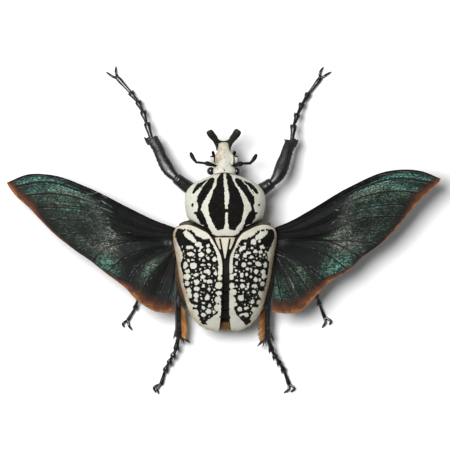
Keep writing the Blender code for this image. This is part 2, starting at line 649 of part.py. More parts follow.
def make_head():
    """The head with its side lobes, palps and mandibles."""
    pieces = []
    for sign in (-1, 1):
        pieces.append(ball("lobe", (0.5 + sign * 4.8, -31.8, 14.6), (1.55, 2.0, 0.7), rows=6, sides=10))
        pieces.append(limb("palp", [(0.55 + sign * 3.2, -32.2, 13.5, 0.65, 0.6),
                                    (0.55 + sign * 4.4, -33.9, 13.4, 0.6, 0.55),
                                    (0.55 + sign * 4.95, -35.7, 13.6, 0.4, 0.4)], sides=6, steps=1))
        pieces.append(limb("mandible", [(0.5 + sign * 1.4, -35.0, 13.4, 0.9, 0.7),
                                        (0.5 + sign * 1.5, -38.2, 13.5, 0.7, 0.5)], sides=6, steps=1))
    head = combine("head", skull("skull"), pieces)
    cuts = [ball("socket", place, [s + GAP for s in EYE_SIZE], rows=8, sides=12) for place in EYES.values()]
    return finish(combine("head", head, cuts + [pronotum_clearance()], "DIFFERENCE"), IVORY)


def make_eyes():
    for side, place in EYES.items():
        finish(ball("eye_" + side, place, EYE_SIZE, rows=8, sides=12), EYE_BROWN)


# The horn's two arms, each from its root beside the head to its blunt tip, and the web between them
HORN_ARMS = [
    [(3.6, -36.0, 15.3, 0.3, 0.5), (3.6, -37.6, 15.7, 0.7, 1.0), (3.3, -39.3, 16.2, 1.2, 1.2),
     (4.4, -41.1, 17.3, 1.25, 1.15), (6.0, -42.7, 18.5, 1.45, 1.1), (7.0, -44.1, 19.4, 1.4, 0.95),
     (7.4, -44.7, 19.8, 0.9, 0.5)],
    [(-2.5, -36.0, 15.3, 0.3, 0.5), (-2.5, -37.6, 15.7, 0.7, 1.0), (-2.1, -39.3, 16.2, 1.2, 1.2),
     (-3.4, -41.2, 17.3, 1.25, 1.15), (-4.8, -43.0, 18.5, 1.45, 1.1), (-5.7, -44.3, 19.4, 1.4, 0.95),
     (-6.1, -44.9, 19.8, 0.9, 0.5)],
]
HORN_WEB = [(3.2, -39.9, 16.2, 1.0, 1.1), (0.6, -39.9, 16.1, 0.75, 1.0), (-2.0, -39.9, 16.2, 1.0, 1.1)]


def make_horn():
    """The forked horn of the male, which clasps the front of the head."""
    web = limb("web", HORN_WEB, sides=8)
    arms = [limb("arm", stations, sides=8, steps=1) for stations in HORN_ARMS]
    horn = combine("horn", web, arms)
    return finish(combine("horn", horn, [skull("clearance", GAP)], "DIFFERENCE"), BLACK)


ANTENNAE = {
    "left": [(4.85, -29.2, 16.3, 0.55, 0.5), (6.4, -29.6, 16.7, 0.75, 0.7), (8.5, -30.1, 16.7, 0.7, 0.65),
             (9.3, -30.3, 16.4, 0.45, 0.45), (11.3, -30.4, 16.0, 0.52, 0.5), (12.9, -30.6, 15.8, 0.5, 0.5),
             (14.0, -32.0, 15.6, 0.65, 0.8), (15.1, -34.0, 15.5, 0.6, 0.8), (15.5, -35.1, 15.5, 0.35, 0.4)],
    "right": [(-4.2, -29.2, 16.3, 0.55, 0.5), (-5.6, -29.6, 16.7, 0.75, 0.7),
              (-7.6, -30.0, 16.7, 0.75, 0.65), (-8.4, -30.1, 16.4, 0.5, 0.45),
              (-10.0, -30.1, 16.0, 0.6, 0.5), (-11.4, -30.2, 15.8, 0.5, 0.5),
              (-12.5, -31.4, 15.6, 0.65, 0.8), (-13.7, -33.2, 15.5, 0.62, 0.8),
              (-14.2, -34.3, 15.5, 0.35, 0.4)],
}


def make_antennae():
    for side, stations in ANTENNAE.items():
        out = 1 if side == "left" else -1
        finish(limb("antenna_" + side, stations, sides=6, steps=1, start=(out, 0, 0)), BLACK)


def make_prosternum():
    """The underside of the first segment, with the sockets of the fore legs."""
    sections = [(PROSTERNUM_FRONT, 3.6, 11.6), (-22.5, 6.6, 10.6), (-19.0, 9.2, 9.8), (-15.0, 10.4, 9.2),
                (-10.5, 11.0, 8.8), (-7.0, 11.4, 8.6), (THORAX_FRONT - GAP, 12.0, 8.4)]
    trunk = loft("trunk", [prosternum_ring(y, half_width, belly) for y, half_width, belly in sections])
    pieces = [hip("fore_" + side) for side in ("left", "right")]
    return finish(combine("prosternum", trunk, pieces), BLACK)


def hip(leg):
    """The short hip of a leg, which grows out of the trunk."""
    inner, outer = LEGS[leg]["hip"]
    return limb("hip", [inner + (1.9, 1.7), outer + (1.7, 1.6)], sides=8, steps=1,
                end=Vector(outer) - Vector(inner))


def make_thorax():
    """The middle of the trunk, which carries the wings and the rear two pairs of legs."""
    stations = [THORAX_FRONT, -3.0, -1.6, -0.6, 3.0, 7.0, 11.0, 15.0, 19.5, WAIST]
    trunk = loft("trunk", [trunk_ring(y) for y in stations])
    pieces = [hip(pair + side) for pair in ("mid_", "hind_") for side in ("left", "right")]
    for sign in (-1, 1):
        corners = [(sign * 12.0, -0.6), (sign * 21.2, -1.9), (sign * 17.2, -6.0)]
        levels = (15.0, 20.4)
        pieces.append(loft("shoulder", [[(x, y, z) for x, y in corners] for z in levels]))
    thorax = combine("thorax", trunk, pieces)
    return finish(combine("thorax", thorax, [pronotum_clearance()], "DIFFERENCE"), BLACK)


def make_abdomen():
    """The rear of the trunk, stepped a little at each belly plate."""
    plates = 5
    rings = []
    start, end = WAIST + GAP, ABDOMEN_END
    for k in range(plates):
        for share, shrink in ((0.0, 0.0), (0.86, 0.0), (0.93, 0.35)):
            y = start + (end - start) * (k + share) / plates
            rings.append(trunk_ring(y, shrink))
    rings.append(trunk_ring(end, 1.0))
    return finish(loft("abdomen", rings), BLACK)


def mitre(before, joint, after):
    """The direction of the shared face where two limb pieces meet."""
    first = (Vector(joint) - Vector(before)).normalized()
    second = (Vector(after) - Vector(joint)).normalized()
    return (first + second).normalized()


def make_femur(leg):
    spec = LEGS[leg]
    hip_in, start = (Vector(p) for p in spec["hip"])
    knee, tibia_next = Vector(spec["knee"]), Vector(spec["tibia"][0][:3])
    facing = (start - hip_in).normalized()
    begin = start + facing * GAP
    face = mitre(start, knee, tibia_next)
    end = knee - face * (0.5 * GAP)
    wide, high = spec["femur_size"]
    stations = [tuple(begin) + (1.5, 1.4)]
    for share, swell in ((0.25, 0.85), (0.5, 1.0), (0.78, 0.95)):
        stations.append(tuple(begin.lerp(end, share)) + (wide * swell, high * swell))
    stations.append(tuple(end) + spec["knee_size"])
    return finish(limb("femur_" + leg, stations, sides=10, start=facing, end=face), BLACK)


def fringe_locks(leg):
    """Flat tapered locks of the golden fringe on the inner side of a hind tibia."""
    rng = random.Random(SEED + len(leg))
    inward = -1 if leg.endswith("left") else 1
    at = curve([(spec[0], spec[1], spec[2]) for spec in LEGS[leg]["tibia"]])
    locks = []
    for k in range(FRINGE_LOCKS):
        share = 0.06 + 0.86 * k / (FRINGE_LOCKS - 1)
        root = at(share)
        length = 2.2 + 1.9 * math.sin(math.pi * min(1.0, 0.25 + 0.62 * share)) + rng.uniform(-0.25, 0.25)
        lean = 1.6 + rng.uniform(-0.3, 0.3)
        level = 0.28 if k % 2 else -0.28
        stations = [(root[0], root[1] - 0.5, root[2] + level, 0.95, 0.34)]
        for out, slant, near, wide, thick in ((0.35, 0.4, 1.0, 1.05, 0.3), (0.75, 1.2, 0.8, 0.8, 0.26),
                                              (1.0, 2.1, 0.5, 0.22, 0.2)):
            stations.append((root[0] + inward * (1.3 + out * length), root[1] + slant * lean,
                             root[2] + near * level, wide, thick))
        locks.append(limb("lock", stations, sides=4, steps=1))
    return locks


def make_tibia(leg):
    spec = LEGS[leg]
    knee = Vector(spec["knee"])
    first, last = Vector(spec["tibia"][0][:3]), Vector(spec["tibia"][-1][:3])
    face = mitre(spec["hip"][1], knee, first)
    begin = knee + face * (0.5 * GAP)
    end_face = Vector(spec["tarsus"][0]) - last
    root_size = tuple(0.85 * size for size in spec["knee_size"])
    bar = limb("bar", [tuple(begin) + root_size] + spec["tibia"], sides=8, start=face, end=end_face)
    pieces = [spike("tooth", root, tip, width) for root, tip, width in spec["teeth"] + spec["spurs"]]
    if leg.startswith("hind"):
        pieces += fringe_locks(leg)
    return finish(combine("tibia_" + leg, bar, pieces), BLACK)


def claw(root, along, bow, tip):
    """A hooked claw that bends through a bow and rests its tip on the floor."""
    bow = Vector(bow + (CLAW_BOW_LEVEL,))
    tip = Vector(tip + (CLAW_LEVEL,))
    root = root - along * 0.6
    late = bow.lerp(tip, 0.6)
    return limb("claw", [tuple(root) + (0.55, 0.5), tuple(bow) + (0.46, 0.46),
                         (late.x, late.y, 0.75, 0.38, 0.4), tuple(tip) + (0.26, 0.26)], sides=6)


def make_tarsus(leg):
    """The foot: five segments, each flared at its end, and two hooked claws on the floor."""
    spec = LEGS[leg]
    inward = 1 if leg.endswith("left") else -1
    joints = [Vector(p) for p in spec["tarsus"]]
    toward = joints[0] - Vector(spec["tibia"][-1][:3])
    begin = Vector(spec["tibia"][-1][:3]) + toward.normalized() * GAP
    joints[0] = begin
    waist, flare = spec["tarsus_size"]
    stations = [tuple(begin) + (waist, 0.8 * waist)]
    pieces = []
    for k in range(SEGMENTS):
        root, end = joints[k], joints[k + 1]
        last = k == SEGMENTS - 1
        swell = flare * (0.75 if last else 1.0 - 0.06 * k)
        stations.append(tuple(root.lerp(end, 0.45)) + (0.5 * (waist + swell), 0.4 * (waist + swell)))
        stations.append(tuple(root.lerp(end, 0.88)) + (swell, 0.7 * swell))
        if not last:
            stations.append(tuple(end) + (0.85 * waist, 0.7 * waist))
            drop = Vector((0, 0, -0.25))
            side = (end - root).cross(Vector((0, 0, 1))).normalized()
            for sign in (-1, 1):
                reach = 1.12 if sign == inward else 1.02
                base = root.lerp(end, 0.8) + side * sign * 0.6 * swell
                tip = root.lerp(end, reach) + side * sign * 1.08 * swell + drop
                pieces.append(spike("spine", base, tip, 0.4 * swell, sides=4))
    stations.append(tuple(joints[SEGMENTS]) + (0.6 * flare, 0.5))
    foot = limb("foot", stations, sides=6, steps=1, start=toward)
    along = (joints[SEGMENTS] - joints[SEGMENTS - 1]).normalized()
    pieces += [claw(joints[SEGMENTS], along, bow, tip) for bow, tip in spec["claws"]]
    tarsus = combine("tarsus_" + leg, foot, pieces)
    corners = [(-99, -99), (99, -99), (99, 99), (-99, 99)]
    floor = loft("floor", [[(x, y, -6.0) for x, y in corners], [(x, y, 0.0) for x, y in corners]])
    return finish(combine("tarsus_" + leg, tarsus, [floor], "DIFFERENCE"), BLACK)


def make_legs():
    for leg in LEGS:
        make_femur(leg)
        make_tibia(leg)
        make_tarsus(leg)


def main():
    clear_scene()
    make_pronotum()
    make_prosternum()
    make_scutellum()
    make_thorax()
    make_abdomen()
    make_head()
    make_eyes()
    make_horn()
    make_antennae()
    for side in ("left", "right"):
        make_elytron(side)
        make_wing(side)
    make_legs()


main()
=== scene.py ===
"""Finished surfaces of a spread goliath beetle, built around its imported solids.

Laid out as a Blender add-on and run as a script. Measures in the tables below are millimetres in
the frame of the solids: +Z up, head towards -Y, the animal's left towards +X.
"""

import math
import random

import bpy
import numpy as np
from bpy.props import FloatProperty, FloatVectorProperty, IntProperty, PointerProperty
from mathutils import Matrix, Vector


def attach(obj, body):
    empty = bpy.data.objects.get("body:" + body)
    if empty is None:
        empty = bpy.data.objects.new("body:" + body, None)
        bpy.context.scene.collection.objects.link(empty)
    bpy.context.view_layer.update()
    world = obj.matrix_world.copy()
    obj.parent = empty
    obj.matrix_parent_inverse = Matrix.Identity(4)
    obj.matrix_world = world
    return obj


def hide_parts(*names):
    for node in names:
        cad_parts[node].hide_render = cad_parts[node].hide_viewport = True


bl_info = {
    "name": "Goliath Beetle",
    "version": (1, 0, 0),
    "blender": (4, 5, 0),
    "location": "View3D > Sidebar > Beetle",
    "description": "Models the shell plates, wings, legs and hair of a spread goliath beetle",
    "category": "Object",
}

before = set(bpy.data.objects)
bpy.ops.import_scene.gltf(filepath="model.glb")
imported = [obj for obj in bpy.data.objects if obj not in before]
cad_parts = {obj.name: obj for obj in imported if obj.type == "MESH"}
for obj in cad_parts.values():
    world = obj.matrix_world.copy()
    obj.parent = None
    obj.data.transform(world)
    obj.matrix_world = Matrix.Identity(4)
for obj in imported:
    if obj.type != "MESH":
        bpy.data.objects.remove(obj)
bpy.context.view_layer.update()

MM = 0.001
SEED = 17
SIDES = {"left": 1, "right": -1}

# The body's named sizes, the same as in the solids
PRONOTUM_UNDERSIDE = 17.5
PRONOTUM_REAR = 2.8
PRONOTUM_CLEARANCE = 0.45
PROSTERNUM_FRONT = -25.2
ELYTRON_END = 45.6
CORE_INSET = 2.2
CORE_CLEARANCE = 1.45
THORAX_FRONT = -4.2
WAIST = 24.0
ABDOMEN_END = 44.0
SQUARENESS = 2.3
PLATE_SQUARENESS = 2.6
GAP = 0.3
WING_ROOT_HEIGHT = 17.6
WING_REACH = 98.0
UP = (0, 0, 1.0)


class BeetleSizes(bpy.types.PropertyGroup):
    """Sizes of the finished surfaces, in metres."""
    elytron_thickness: FloatProperty(name="Wing cover thickness", description="Thickness of each wing cover",
                                     default=0.0010, min=0.0004, unit="LENGTH")
    wing_thickness: FloatProperty(name="Wing thickness", description="Thickness of the wing membrane",
                                  default=0.0004, min=0.0002, unit="LENGTH")
    vein_height: FloatProperty(name="Vein height", description="Height of the main veins over the membrane",
                               default=0.0004, min=0.0, unit="LENGTH")
    leg_grain: FloatProperty(name="Leg grain", description="Cell size used to fuse the pieces of a leg",
                             default=0.00013, min=0.00008, unit="LENGTH")
    fringe_hairs: IntProperty(name="Fringe hairs", description="Hairs on each hind tibia's fringe",
                              default=2600, min=200)
    fringe_length: FloatProperty(name="Fringe length", description="Longest hair of the hind tibia's fringe",
                                 default=0.0036, min=0.001, unit="LENGTH")
    hair_width: FloatProperty(name="Hair width", description="Width of a hair at its root",
                              default=0.00011, min=0.00003, unit="LENGTH")


def colour(name, description, default):
    return FloatVectorProperty(name=name, description=description, subtype="COLOR", default=default, min=0,
                               max=1)


class BeetleColours(bpy.types.PropertyGroup):
    """Colours of the finished surfaces."""
    cream: colour("Cream", "Pale ground of the shield and spots", (0.575, 0.578, 0.50))
    ochre: colour("Ochre", "Stain at the edges of the pale plates", (0.45, 0.34, 0.20))
    velvet: colour("Velvet black", "Velvety black of the markings", (0.0042, 0.004, 0.0036))
    chitin: colour("Glossy black", "Horn, legs and feelers", (0.003, 0.003, 0.003))
    wing_dark: colour("Wing dark", "Dark ground of the wings", (0.005, 0.0065, 0.006))
    wing_sheen: colour("Wing sheen", "Green of the wings' iridescence", (0.13, 0.235, 0.16))
    wing_rim: colour("Wing rim", "Rust at the wings' edge", (0.27, 0.105, 0.034))
    hair_gold: colour("Golden hair", "Fringe of the hind tibiae", (0.56, 0.235, 0.05))


def sizes():
    return bpy.context.scene.beetle_sizes


def colours():
    return bpy.context.scene.beetle_colours


# Curves and profiles

def hermite(places, values, wanted):
    """Smooth values at the wanted places, from values at a few places."""
    slope = np.gradient(values, places, axis=0)
    wanted = np.clip(np.asarray(wanted, float), places[0], places[-1])
    i = np.clip(np.searchsorted(places, wanted) - 1, 0, len(places) - 2)
    span = places[i + 1] - places[i]
    a = (wanted - places[i]) / span
    for _ in range(values.ndim - 1):
        a, span = a[..., None], span[..., None]
    return ((2 * a ** 3 - 3 * a ** 2 + 1) * values[i] + (a ** 3 - 2 * a ** 2 + a) * span * slope[i]
            + (3 * a ** 2 - 2 * a ** 3) * values[i + 1] + (a ** 3 - a ** 2) * span * slope[i + 1])


def path(points):
    """A smooth curve through a few points, as a function of shares of its length."""
    knots = np.array(points, float)
    lengths = np.linalg.norm(np.diff(knots[:, :3], axis=0), axis=1)
    places = np.concatenate([[0.0], np.cumsum(lengths)]) / lengths.sum()
    return lambda shares: hermite(places, knots, shares)


def profile(rows):
    """Smooth values along the body, from rows of a place and its one or more values."""
    rows = np.array(rows, float)
    values = rows[:, 1] if rows.shape[1] == 2 else rows[:, 1:]
    return lambda wanted: hermite(rows[:, 0], values, wanted)


def arch(share, squareness):
    return (1.0 - np.clip(np.abs(share), 0.0, 1.0) ** squareness) ** (1.0 / squareness)


def hump(value, centre, width):
    """A smooth bump from 0 to 1 round a centre."""
    return np.exp(-((value - centre) / width) ** 2)


def unit(vectors):
    return vectors / np.maximum(np.linalg.norm(vectors, axis=-1, keepdims=True), 1e-6)


def coons(front, rear, first, last):
    """A plan position from shares across and along, between four edge curves."""
    corners = [front(0.0), front(1.0), rear(0.0), rear(1.0)]

    def at(u, v):
        u, v = u[..., None], v[..., None]
        flat = ((1 - u) * (1 - v) * corners[0] + u * (1 - v) * corners[1]
                + (1 - u) * v * corners[2] + u * v * corners[3])
        return ((1 - v) * front(u[..., 0]) + v * rear(u[..., 0])
                + (1 - u) * first(v[..., 0]) + u * last(v[..., 0]) - flat)

    return at


back_half_width = profile([
    (-4, 23.4), (1, 23.4), (4, 23.3), (9, 22.6), (15, 21.5), (22, 20.5), (29, 18.6), (36, 16.4), (40, 14),
    (42.6, 11.8), (44.4, 8.8), (45.6, 4.5),
])
back_margin = profile([(-4, 19.4), (4, 19), (15, 18.4), (26, 17.4), (36, 15.8), (45.6, 14.2)])
back_rise = profile([
    (-4, 11.4), (2, 12.8), (10, 14), (18, 14), (26, 12.9), (34, 10.6), (40, 7.4), (43.5, 4.6), (45.6, 2.2),
])
belly_level = profile([
    (-4, 8.6), (2, 6.9), (10, 6.4), (18, 6.8), (26, 8), (34, 9.2), (40, 10.6), (45, 12.6),
])
shoulder_narrowing = profile([(THORAX_FRONT, 6.4), (-3, 2.6), (-1.6, .6), (-.6, 0), (2, 0)])
pronotum_rise = profile([(0, 4.6), (.2, 7.4), (.45, 9.9), (.7, 11.2), (.88, 11.3), (1, 10.4)])


def back_height(x, y):
    """Height of the outer surface of the back above the floor."""
    return back_margin(y) + back_rise(y) * arch(x / back_half_width(y), SQUARENESS)


# Modelling helpers

def pick(*pieces):
    """Select only these pieces and make the first one active."""
    if bpy.context.object and bpy.context.object.mode != "OBJECT":
        bpy.ops.object.mode_set(mode="OBJECT")
    bpy.ops.object.select_all(action="DESELECT")
    for piece in pieces:
        piece.select_set(True)
    if pieces:
        bpy.context.view_layer.objects.active = pieces[0]


def added(name, add, **settings):
    """What an operator adds, named."""
    pick()
    add(**settings)
    piece = bpy.context.object
    piece.name = piece.data.name = name
    return piece


def edit(piece, *steps):
    """Run steps in edit mode, each on the whole of a piece."""
    pick(piece)
    bpy.ops.object.mode_set(mode="EDIT")
    for step in steps:
        bpy.ops.mesh.select_all(action="SELECT")
        step()
    bpy.ops.object.mode_set(mode="OBJECT")
    return piece


def face_outwards():
    bpy.ops.mesh.normals_make_consistent(inside=False)


def fetch(items, name):
    """Three numbers of each item, in a row each."""
    flat = np.empty(len(items) * 3)
    items.foreach_get(name, flat)
    return flat.reshape(-1, 3)


def read_points(piece):
    """The piece's points in millimetres."""
    return fetch(piece.data.vertices, "co") / MM


def write_points(piece, points):
    piece.data.vertices.foreach_set("co", np.ascontiguousarray(points * MM, float).ravel())
    piece.data.update()


def stamp(piece, name, values):
    """Store a value for each point, for the piece's material."""
    layer = piece.data.attributes.get(name) or piece.data.attributes.new(name, "FLOAT", "POINT")
    values = np.broadcast_to(values, len(piece.data.vertices))
    layer.data.foreach_set("value", np.ascontiguousarray(values, np.float32))


def refine(piece, kind, **settings):
    """Add a modifier with these settings and apply it."""
    pick(piece)
    tool = piece.modifiers.new(kind.title(), kind)
    for key, value in settings.items():
        setattr(tool, key, value)
    bpy.ops.object.modifier_apply(modifier=tool.name)


def lattice(name, table):
    """A grid primitive whose points take the places of a table of columns by rows."""
    columns, rows = table.shape[0] - 1, table.shape[1] - 1
    piece = added(name, bpy.ops.mesh.primitive_grid_add, x_subdivisions=columns, y_subdivisions=rows,
                  size=2.0)
    flat = fetch(piece.data.vertices, "co")
    i = np.rint((flat[:, 0] + 1) / 2 * columns).astype(int)
    j = np.rint((flat[:, 1] + 1) / 2 * rows).astype(int)
    write_points(piece, table[i, j])
    return piece


def sheet(name, x, y, z):
    """An open sheet over a grid of places, with its outer side up."""
    piece = lattice(name, np.dstack([x, y, z]))
    if fetch(piece.data.polygons, "normal")[:, 2].sum() < 0:
        edit(piece, bpy.ops.mesh.flip_normals)
    return piece


def close_up(piece):
    """Weld a seam, fill the open ends and turn all faces outwards."""
    return edit(piece, lambda: bpy.ops.mesh.remove_doubles(threshold=2e-6),
                lambda: bpy.ops.mesh.fill_holes(sides=0), face_outwards)


def smooth_shade(piece, angle=40):
    pick(piece)
    bpy.ops.object.shade_smooth_by_angle(angle=math.radians(angle))


def soften(piece, width, segments=3):
    """Round a plate's edges, by a width in millimetres."""
    refine(piece, "BEVEL", width=width * MM, segments=segments, limit_method="ANGLE",
           angle_limit=math.radians(50))
    smooth_shade(piece)


def at(place, wide, high):
    """A limb's station: its place with a half width and a half height."""
    return tuple(place) + (wide, high)


def limb(name, stations, sides=24, rows=None, start=None, end=None):
    """A tapered bar through stations of x, y, z, half width and half height, with closed ends."""
    rows = rows or 8 * (len(stations) - 1)
    samples = path(stations)(np.linspace(0, 1, rows + 1))
    along = np.gradient(samples[:, :3], axis=0)
    if start is not None:
        along[0] = start
    if end is not None:
        along[-1] = end
    along = unit(along)
    across = unit(np.cross(along, UP))
    up = np.cross(across, along)
    turn = np.linspace(0, 2 * math.pi, sides + 1)[:, None, None]
    table = (samples[None, :, :3] + across[None] * samples[None, :, 3:4] * np.cos(turn)
             + up[None] * samples[None, :, 4:5] * np.sin(turn))
    return close_up(lattice(name, table))


def barrel(name, rings):
    return close_up(lattice(name, np.array(rings).transpose(1, 0, 2)))


def spine(name, root, tip, width, bow=(0, 0, 0), sides=12):
    """A pointed spine, bowed off its straight line."""
    root, tip = np.array(root, float), np.array(tip, float)
    middle = root + 0.55 * (tip - root) + np.array(bow)
    stations = [at(place, share * width, share * width)
                for place, share in ((root, 1), (middle, 0.66), (tip, 0.14))]
    return limb(name, stations, sides=sides, rows=8)


def egg(name, centre, half_sizes, segments=40, rings=24):
    """A sphere primitive stretched to its half sizes at its place."""
    piece = added(name, bpy.ops.mesh.primitive_uv_sphere_add, segments=segments, ring_count=rings,
                  radius=1.0)
    write_points(piece, fetch(piece.data.vertices, "co") * half_sizes + centre)
    return piece


def fuse(name, pieces, grain, softness=3):
    """One skin over overlapping closed pieces."""
    pick(*pieces)
    bpy.ops.object.join()
    body = pieces[0]
    body.name = body.data.name = name
    refine(body, "REMESH", mode="VOXEL", voxel_size=grain, adaptivity=0.0)
    refine(body, "SMOOTH", factor=0.5, iterations=softness)
    body.data.shade_smooth()
    return body


def dress(piece, material, slot, *nodes):
    """Give a piece its material, its body and the solids it stands for; the slot is not used."""
    piece.data.materials.clear()
    piece.data.materials.append(material)
    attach(piece, "root")
    if nodes:
        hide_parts(*nodes)


# Fields that place the markings

def stroke_field(x, y, strokes):
    """Millimetres inside the nearest of some strokes of x, y and half width; negative outside."""
    best = np.full(x.shape, -99.0)
    for stroke in strokes:
        for (ax, ay, aw), (bx, by, bw) in zip(stroke[:-1], stroke[1:]):
            dx, dy = bx - ax, by - ay
            share = np.clip(((x - ax) * dx + (y - ay) * dy) / max(dx * dx + dy * dy, 1e-6), 0, 1)
            away = np.hypot(x - ax - share * dx, y - ay - share * dy)
            best = np.maximum(best, aw + share * (bw - aw) - away)
    return best


def spot_field(x, y, spots):
    """Millimetres inside the nearest of some oval spots; negative outside."""
    best = np.full(x.shape, -99.0)
    for sx, sy, rx, ry in spots:
        away = np.hypot((x - sx) / rx, (y - sy) / ry)
        best = np.maximum(best, (1.0 - away) * min(rx, ry))
    return best


# Materials

def solid_colour(values):
    return tuple(values[:3]) + (1.0,)


class Wiring:
    """Adds nodes to one tree and links them."""

    def __init__(self, tree):
        self.tree = tree

    def feed(self, socket, value):
        if isinstance(value, bpy.types.NodeSocket):
            self.tree.links.new(value, socket)
        else:
            socket.default_value = value

    def node(self, kind, inputs=None, **settings):
        made = self.tree.nodes.new("ShaderNode" + kind)
        for key, value in settings.items():
            setattr(made, key, value)
        for key, value in (inputs or {}).items():
            self.feed(made.inputs[key], value)
        return made

    def math(self, operation, first, second, clamp=False):
        return self.node("Math", {0: first, 1: second}, operation=operation, use_clamp=clamp).outputs[0]

    def plus(self, first, second):
        return self.math("ADD", first, second)

    def minus(self, first, second):
        return self.math("SUBTRACT", first, second)

    def times(self, first, *others, clamp=False):
        for other in others:
            first = self.math("MULTIPLY", first, other, clamp)
        return first

    def mix(self, share, first, second, blend="MIX"):
        inputs = {0: share, 6: first, 7: second}
        return self.node("Mix", inputs, data_type="RGBA", blend_type=blend).outputs[2]

    def spread(self, value, low, high, out_low=0.0, out_high=1.0):
        """Carry values from low to high over smoothly to another range."""
        return self.node("MapRange", {"Value": value, "From Min": low, "From Max": high, "To Min": out_low,
                                      "To Max": out_high}, interpolation_type="SMOOTHSTEP").outputs["Result"]

    def field(self, name):
        return self.node("Attribute", attribute_name=name).outputs["Fac"]

    def place(self):
        return self.node("TexCoord").outputs["Object"]

    def stretched(self, vector, scale, turn=(0, 0, 0)):
        return self.node("Mapping", {"Vector": vector, "Scale": scale, "Rotation": turn}).outputs[0]

    def noise(self, vector, scale, detail=3.0, roughness=0.55, distortion=0.0):
        return self.node("TexNoise", {"Vector": vector, "Scale": scale, "Detail": detail,
                                      "Roughness": roughness, "Distortion": distortion}).outputs[0]

    def cells(self, vector, scale):
        return self.node("TexVoronoi", {"Vector": vector, "Scale": scale}).outputs["Distance"]

    def bump(self, height, distance):
        return self.node("Bump", {"Height": height, "Distance": distance, "Strength": 1.0}).outputs[0]

    def group(self, name, inputs):
        return self.node("Group", inputs, node_tree=shared_group(name)).outputs


def wire_ragged_edge(wires, given):
    """Turns a signed distance in millimetres into a mask with a ragged edge."""
    wander = wires.minus(wires.noise(wires.place(), given["Grain"], detail=4.0), 0.5)
    field = wires.plus(given["Field"], wires.times(wander, wires.times(given["Ragged"], 4.0)))
    return {"Mask": wires.spread(field, wires.times(given["Softness"], -1.0), given["Softness"])}


def wire_shell_grain(wires, given):
    """Punctures and a fine skin grain of chitin, as a height and as a mask of the pits."""
    place = wires.place()
    wall = wires.spread(wires.cells(place, given["Pit Scale"]), wires.times(given["Pit Size"], 0.4),
                        given["Pit Size"])
    patchy = wires.spread(wires.noise(place, 500.0), 0.42, 0.6)
    pits = wires.times(wires.minus(1.0, wall), patchy)
    grain = wires.times(wires.noise(place, given["Grain"], detail=2.0), given["Grain Share"])
    return {"Height": wires.minus(grain, pits), "Pits": pits}


def wire_mottle(wires, given):
    """Drifts one colour towards another in soft patches."""
    patches = wires.spread(wires.noise(wires.place(), given["Scale"], detail=5.0, roughness=0.6), 0.45, 0.7)
    return {"Mixed": wires.mix(wires.times(patches, given["Share"]), given["Colour"], given["Patch Colour"])}


# Each shared effect with its function and the defaults of its inputs
EFFECTS = {
    "Ragged Edge": (wire_ragged_edge, {"Field": 0.0, "Ragged": 0.2, "Grain": 900.0, "Softness": 0.08}),
    "Shell Grain": (wire_shell_grain, {"Pit Scale": 2200.0, "Pit Size": 0.28, "Grain": 9000.0,
                                       "Grain Share": 0.3}),
    "Mottle": (wire_mottle, {"Colour": (1, 1, 1, 1), "Patch Colour": (0, 0, 0, 1), "Scale": 300.0,
                             "Share": 0.5}),
}


def shared_group(name):
    """The node group of an effect, built the first time it is asked for."""
    tree = bpy.data.node_groups.get(name)
    if tree is None:
        wire, defaults = EFFECTS[name]
        tree = bpy.data.node_groups.new(name, "ShaderNodeTree")
        for label, default in defaults.items():
            kind = "NodeSocketFloat" if np.isscalar(default) else "NodeSocketColor"
            tree.interface.new_socket(label, in_out="INPUT", socket_type=kind).default_value = default
        made = wire(Wiring(tree), tree.nodes.new("NodeGroupInput").outputs)
        for label, socket in made.items():
            kind = "NodeSocketColor" if socket.type == "RGBA" else "NodeSocketFloat"
            tree.interface.new_socket(label, in_out="OUTPUT", socket_type=kind)
        result = tree.nodes.new("NodeGroupOutput").inputs
        for label, socket in made.items():
            tree.links.new(socket, result[label])
    return tree


def new_paint(name, gloss=None, **constants):
    """A material, its wiring and its shader, with the shader's constants set."""
    material = bpy.data.materials.new(name)
    material.use_nodes = True
    shader = material.node_tree.nodes["Principled BSDF"].inputs
    if gloss is not None:
        shader["Specular IOR Level"].default_value = gloss
    for key, value in constants.items():
        shader[key.replace("_", " ")].default_value = value
    return material, Wiring(material.node_tree), shader


def mottled(wires, base, patch, scale, share):
    return wires.group("Mottle", {"Colour": solid_colour(base), "Patch Colour": solid_colour(patch),
                                  "Scale": scale, "Share": share})["Mixed"]


